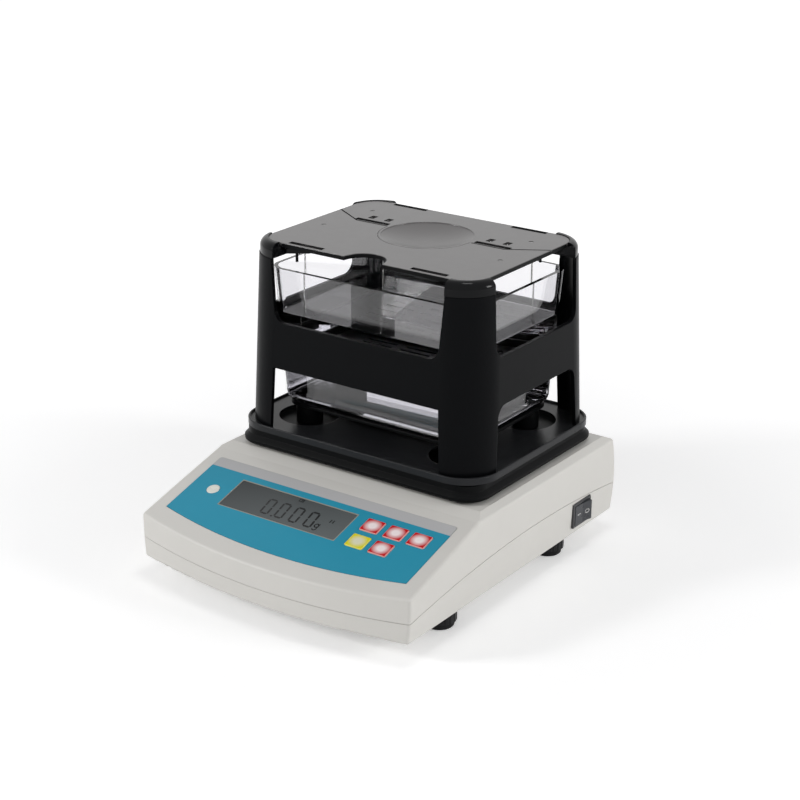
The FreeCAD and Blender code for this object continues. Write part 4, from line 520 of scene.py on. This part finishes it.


# Painted shade: dark rings round the plate's slots and ports, and dark strips along its parting, where the
# openings and the gap lie in shade.
SHADE_FOOT = PLATE_TOP - 0.3 * MM
SHADE_HEAD = PLATE_TOP + 0.06 * MM
SLOT_ENDS = (33.5 * MM, 56.5 * MM)
SLOT_HALF = 0.75 * MM
SLOT_ROWS = (-54 * MM, 13.6 * MM, 55.5 * MM)
SLOT_SHADE = 1.1 * MM
PORT_COLUMNS = (38.3 * MM, 50.5 * MM)
PORT_Y = 21.7 * MM
PORT_HALF = (1.6 * MM, 2.5 * MM)
PORT_SHADE = 0.35 * MM
PARTING = ((78.6 * MM, 25.05 * MM), (67 * MM, 17.8 * MM), (55 * MM, 10.3 * MM), (32 * MM, 10.3 * MM))
SEAM_WIDTH = 0.9 * MM


def shade_ring(middle, half, width):
    """A flat rectangular ring of painted shade round an opening in the plate."""
    def outline(margin):
        return [
            (middle[0] + side_x * (half[0] + margin), middle[1] + side_y * (half[1] + margin))
            for side_x, side_y in ((-1, -1), (1, -1), (1, 1), (-1, 1))
        ]

    levels = ((width, SHADE_FOOT), (width, SHADE_HEAD), (0, SHADE_HEAD), (0, SHADE_FOOT))
    vertices = [point for margin, height in levels for point in on_stage(outline(margin), height)]
    faces = []
    for level in range(4):
        low, high = 4 * level, 4 * ((level + 1) % 4)
        faces += [(low + i, low + (i + 1) % 4, high + (i + 1) % 4, high + i) for i in range(4)]
    return vertices, faces


# The painted shade at the slots, ports and parting, as thin dark bodies on the plate.
def plate_shade_bodies():
    bodies = []
    slot_middle, slot_half = sum(SLOT_ENDS) / 2, ((SLOT_ENDS[1] - SLOT_ENDS[0]) / 2, SLOT_HALF)
    for side in (-1, 1):
        bodies += [shade_ring((side * slot_middle, row), slot_half, SLOT_SHADE) for row in SLOT_ROWS]
        bodies += [shade_ring((side * column, PORT_Y), PORT_HALF, PORT_SHADE) for column in PORT_COLUMNS]
        for outline in ribbon([(side * x, y) for x, y in PARTING], SEAM_WIDTH):
            bodies.append(stacked([on_stage(outline, SHADE_FOOT), on_stage(outline, SHADE_HEAD)]))
    return merged(bodies)


# Matt black without gloss: painted shade, not the plate's own colour.
painted_shade_black = finish("painted_shade_black", linear(5, 5, 6), 0.5, variation=0.1, blotch=300,
                      grain_height=0.004, specular=0.0)
plate_shade_marks = piece("plate_painted_shade", *plate_shade_bodies(), painted_shade_black, "top_plate", smooth=False)


# Display digits, a decimal point, the gram sign and small marks, as dark segments in the display.
# Millimetres on the panel.
DIGIT_WIDTH = 6.6
DIGIT_HEIGHT = 14.2
DIGIT_STROKE = 1.35
DIGIT_LEAN = -0.09
DIGIT_FOOT = 29.3
DIGIT_LEFTS = (-31.4, -20.8, -10.1, 0.9)
SEGMENT_GAP = 0.16
WINDOW_FACE = 0.05
SEGMENT_LEVELS = (WINDOW_FACE - 0.03, WINDOW_FACE + 0.02)

DECIMAL_POINT = [(-22.6, 29.0), (-21.2, 29.0), (-21.2, 30.3), (-22.6, 30.3)]
GRAM_BOWL = arc((10.0, 33.0), 1.35, 1.5, 0, 360, 20)
GRAM_TAIL = [(11.4, 34.8)] + arc((10.1, 30.2), 1.3, 1.3, 0, -150)
# Lines and their widths: the gram sign, then a box and a bar above the digits, and two bars beside.
DISPLAY_LINES = (
    (GRAM_BOWL, 0.75),
    (GRAM_TAIL, 0.75),
    ([(-14.6, 48.0), (-14.6, 50.2), (-12.6, 50.2), (-12.6, 48.0), (-14.6, 48.0)], 0.5),
    ([(-11.6, 48.0), (-11.6, 50.2)], 0.9),
    ([(15.6, 38.6), (15.6, 41.0)], 0.8),
    ([(17.6, 38.6), (17.6, 41.0)], 0.8),
)


def panel_point(across, up, out):
    """A point given in millimetres on the panel."""
    return PANEL_ORIGIN + Vector((1, 0, 0)) * across * MM + PANEL_UP * up * MM + PANEL_OUT * out * MM


def bar(start, end, width):
    """A segment with pointed ends from start to end, as a flat outline."""
    (x0, y0), (x1, y1) = start, end
    length = math.hypot(x1 - x0, y1 - y0)
    ux, uy = (x1 - x0) / length * width / 2, (y1 - y0) / length * width / 2
    (ax, ay), (bx, by) = (x0 + ux, y0 + uy), (x1 - ux, y1 - uy)
    return [
        (x0, y0), (ax + uy, ay - ux), (bx + uy, by - ux), (x1, y1), (bx - uy, by + ux), (ax - uy, ay + ux),
    ]


def zero(left):
    """The six lit segments of a zero."""
    stroke, gap = DIGIT_STROKE / 2, SEGMENT_GAP
    x0, x1 = left + stroke, left + DIGIT_WIDTH - stroke
    y0, y2 = DIGIT_FOOT + stroke, DIGIT_FOOT + DIGIT_HEIGHT - stroke
    y1 = (y0 + y2) / 2
    lines = [
        ((x0 + gap, y0), (x1 - gap, y0)), ((x0 + gap, y2), (x1 - gap, y2)),
        ((x0, y0 + gap), (x0, y1 - gap)), ((x0, y1 + gap), (x0, y2 - gap)),
        ((x1, y0 + gap), (x1, y1 - gap)), ((x1, y1 + gap), (x1, y2 - gap)),
    ]
    return [[(x + (y - DIGIT_FOOT) * DIGIT_LEAN, y) for x, y in bar(*line, DIGIT_STROKE)] for line in lines]


def display_body():
    outlines = [outline for left in DIGIT_LEFTS for outline in zero(left)] + [DECIMAL_POINT]
    for line, width in DISPLAY_LINES:
        outlines += ribbon(line, width)
    return merged(
        stacked([[panel_point(x, y, level) for x, y in outline] for level in SEGMENT_LEVELS])
        for outline in outlines
    )


digit_ink = finish("digit_ink", linear(10, 12, 14), 0.3, variation=0.15, blotch=300, grain=3000,
                   grain_height=0.001, specular=0.3)
digits = piece("display_digits", *display_body(), digit_ink, "base", smooth=False)


# Marks on the rocker, laid on its curved face: a bar at its front half, a ring at its rear half.
# Millimetres in the wall's plane (y, z).
SWITCH_Y, SWITCH_Z = 78.4, 25.7
ON_MIDDLE, OFF_MIDDLE = SWITCH_Y - 4.4, SWITCH_Y + 3.7
ON_LINE = [(ON_MIDDLE - 1.5 + 0.3 * step, SWITCH_Z) for step in range(11)]
ON_WIDTH = 0.8
OFF_LINE = arc((OFF_MIDDLE, SWITCH_Z), 1.6, 1.15, 0, 360, 28)
OFF_WIDTH = 0.75
# From the face, inwards and outwards.
MARK_LEVELS = (-0.05 * MM, 0.02 * MM)
# A place outside the right wall, from which the marks are laid.
OUTSIDE_X = 0.2


def laid_on(node, outlines):
    """Flat outlines as thin bodies on a node's face, laid from the right."""
    mesh = nodes[node].data
    tree = BVHTree.FromPolygons([v.co for v in mesh.vertices], [tuple(p.vertices) for p in mesh.polygons])
    bodies = []
    for outline in outlines:
        hits = [
            tree.ray_cast(Vector((OUTSIDE_X, y * MM, z * MM)), Vector((-1, 0, 0)))[0] for y, z in outline
        ]
        bodies.append(stacked([[hit + Vector((level, 0, 0)) for hit in hits] for level in MARK_LEVELS]))
    return merged(bodies)


white_ink = finish("white_ink", linear(226, 226, 224), 0.4, blotch=400)
mark_outlines = ribbon(ON_LINE, ON_WIDTH) + ribbon(OFF_LINE, OFF_WIDTH)
marks = piece("rocker_marks", *laid_on("switch_rocker", mark_outlines), white_ink, "rocker",
              smooth=False)


# ---- studio --------------------------------------------------------------------------------------

WHITE = (1.0, 1.0, 1.0, 1.0)

# The sky that lights the object, from white low down to grey overhead; the heights are shares of
# the world's generated coordinate.
SKY_STRENGTH = 0.8
SKY_OVERHEAD = (0.2, 0.2, 0.21, 1.0)
SKY_FADE = (0.45, 0.85)

FLOOR_REACH = 6.0
FLOOR_TONES = ((0.9, 0.9, 0.9, 1.0), (0.93, 0.93, 0.93, 1.0))
# The strength of the floor's own light, and the distances from the object's middle between which it
# grows, so that a shadow stays beside the object.
FLOOR_GLOW = (0.3, 0.6)
FLOOR_FADE = (0.25, 0.9)

# Name, place, side in metres and power in watts of each square lamp; all aim at LAMP_AIM.
LAMPS = (
    ("top_softbox", (0.1, 0.1, 1.5), 0.3, 2.2),
    ("right_softbox", (1.45, 0.35, 0.6), 0.35, 7.0),
    ("front_softbox", (-1.05, -1.15, 0.85), 0.35, 9.8),
)
LAMP_AIM = Vector((0, 0, 0.09))

# The photograph's view: its angles, and where the bench below the panel's foot lies as the camera
# sees it: to the right, up and away. The focal length is in pixels of the photograph.
VIEW_AZIMUTH, VIEW_ELEVATION, VIEW_ROLL = 35.258, 21.055, 0.301
VIEW_POINT = Vector((0, PANEL_ORIGIN.y, 0))
VIEW_RIGHT, VIEW_UP, VIEW_AWAY = -75.930 * MM, -127.778 * MM, 1104.667 * MM
FOCAL_PIXELS, PHOTO_PIXELS = 1874.9, 800
SENSOR = 36


def shows_background(net):
    """1 for the rays that look at the background: the camera's, and those through glass or off a gloss."""
    path = net.add("LightPath").outputs
    indirect = net.math("MAXIMUM", path["Is Transmission Ray"], path["Is Glossy Ray"])
    return net.math("MAXIMUM", path["Is Camera Ray"], indirect)


def sky(world):
    net = Nodes(world)
    seen = shows_background(net)
    height = net.add("SeparateXYZ", {0: net.add("TexCoord").outputs["Generated"]}).outputs[2]
    tone = net.mix(net.spread(height, 0.0, 1.0, *SKY_FADE), WHITE, SKY_OVERHEAD)
    lit = net.add("Background", {"Color": tone, "Strength": SKY_STRENGTH})
    white = net.add("Background", {"Color": WHITE, "Strength": 1.0})
    shader = net.add("MixShader", {0: seen, 1: lit.outputs[0], 2: white.outputs[0]})
    net.add("OutputWorld", {"Surface": shader.outputs[0]})


def floor_paper():
    material = bpy.data.materials.new("floor_paper")
    net = Nodes(material)
    place = net.place()
    matt = net.add("BsdfDiffuse", {"Color": net.mix(net.noise(place, 2.0, 2.0), *FLOOR_TONES)})
    distance = net.add("VectorMath", {0: place}, operation="LENGTH").outputs["Value"]
    lift = net.spread(distance, *FLOOR_GLOW, *FLOOR_FADE)
    strength = net.math("MULTIPLY", shows_background(net), lift)
    patch_colour = net.add("Emission", {"Color": WHITE, "Strength": strength})
    both = net.add("AddShader", {0: matt.outputs[0], 1: patch_colour.outputs[0]})
    net.add("OutputMaterial", {"Surface": both.outputs[0]})
    return material


def studio():
    scene = bpy.context.scene
    scene.view_settings.view_transform = "Standard"
    scene.world = bpy.data.worlds.new("studio")
    sky(scene.world)

    floor_mesh = bpy.data.meshes.new("floor")
    corners = [(x * FLOOR_REACH, y * FLOOR_REACH, 0) for x, y in ((-1, -1), (1, -1), (1, 1), (-1, 1))]
    floor_mesh.from_pydata(corners, [], [(0, 1, 2, 3)])
    floor_mesh.materials.append(floor_paper())
    floor = bpy.data.objects.new("floor", floor_mesh)
    scene.collection.objects.link(floor)

    for name, place, size, power in LAMPS:
        light = bpy.data.lights.new(name, "AREA")
        light.shape = "SQUARE"
        light.size = size
        light.energy = power
        lamp = bpy.data.objects.new(name, light)
        lamp.location = place
        lamp.rotation_euler = (LAMP_AIM - Vector(place)).to_track_quat("-Z", "Y").to_euler()
        scene.collection.objects.link(lamp)


def camera():
    """The photograph's camera."""
    azimuth, elevation, roll = map(math.radians, (VIEW_AZIMUTH, VIEW_ELEVATION, VIEW_ROLL))
    back = Vector((
        math.sin(azimuth) * math.cos(elevation), -math.cos(azimuth) * math.cos(elevation),
        math.sin(elevation),
    ))
    level = Vector((math.cos(azimuth), math.sin(azimuth), 0))
    upright = back.cross(level)
    right = level * math.cos(roll) + upright * math.sin(roll)
    up = upright * math.cos(roll) - level * math.sin(roll)
    lens = bpy.data.cameras.new("camera")
    lens.sensor_width = SENSOR
    lens.lens = SENSOR * FOCAL_PIXELS / PHOTO_PIXELS
    eye = bpy.data.objects.new("camera", lens)
    place = VIEW_POINT + back * VIEW_AWAY - right * VIEW_RIGHT - up * VIEW_UP
    eye.matrix_world = Matrix.Translation(place) @ Matrix((right, up, back)).transposed().to_4x4()
    bpy.context.scene.collection.objects.link(eye)
    bpy.context.scene.camera = eye


studio()
camera()
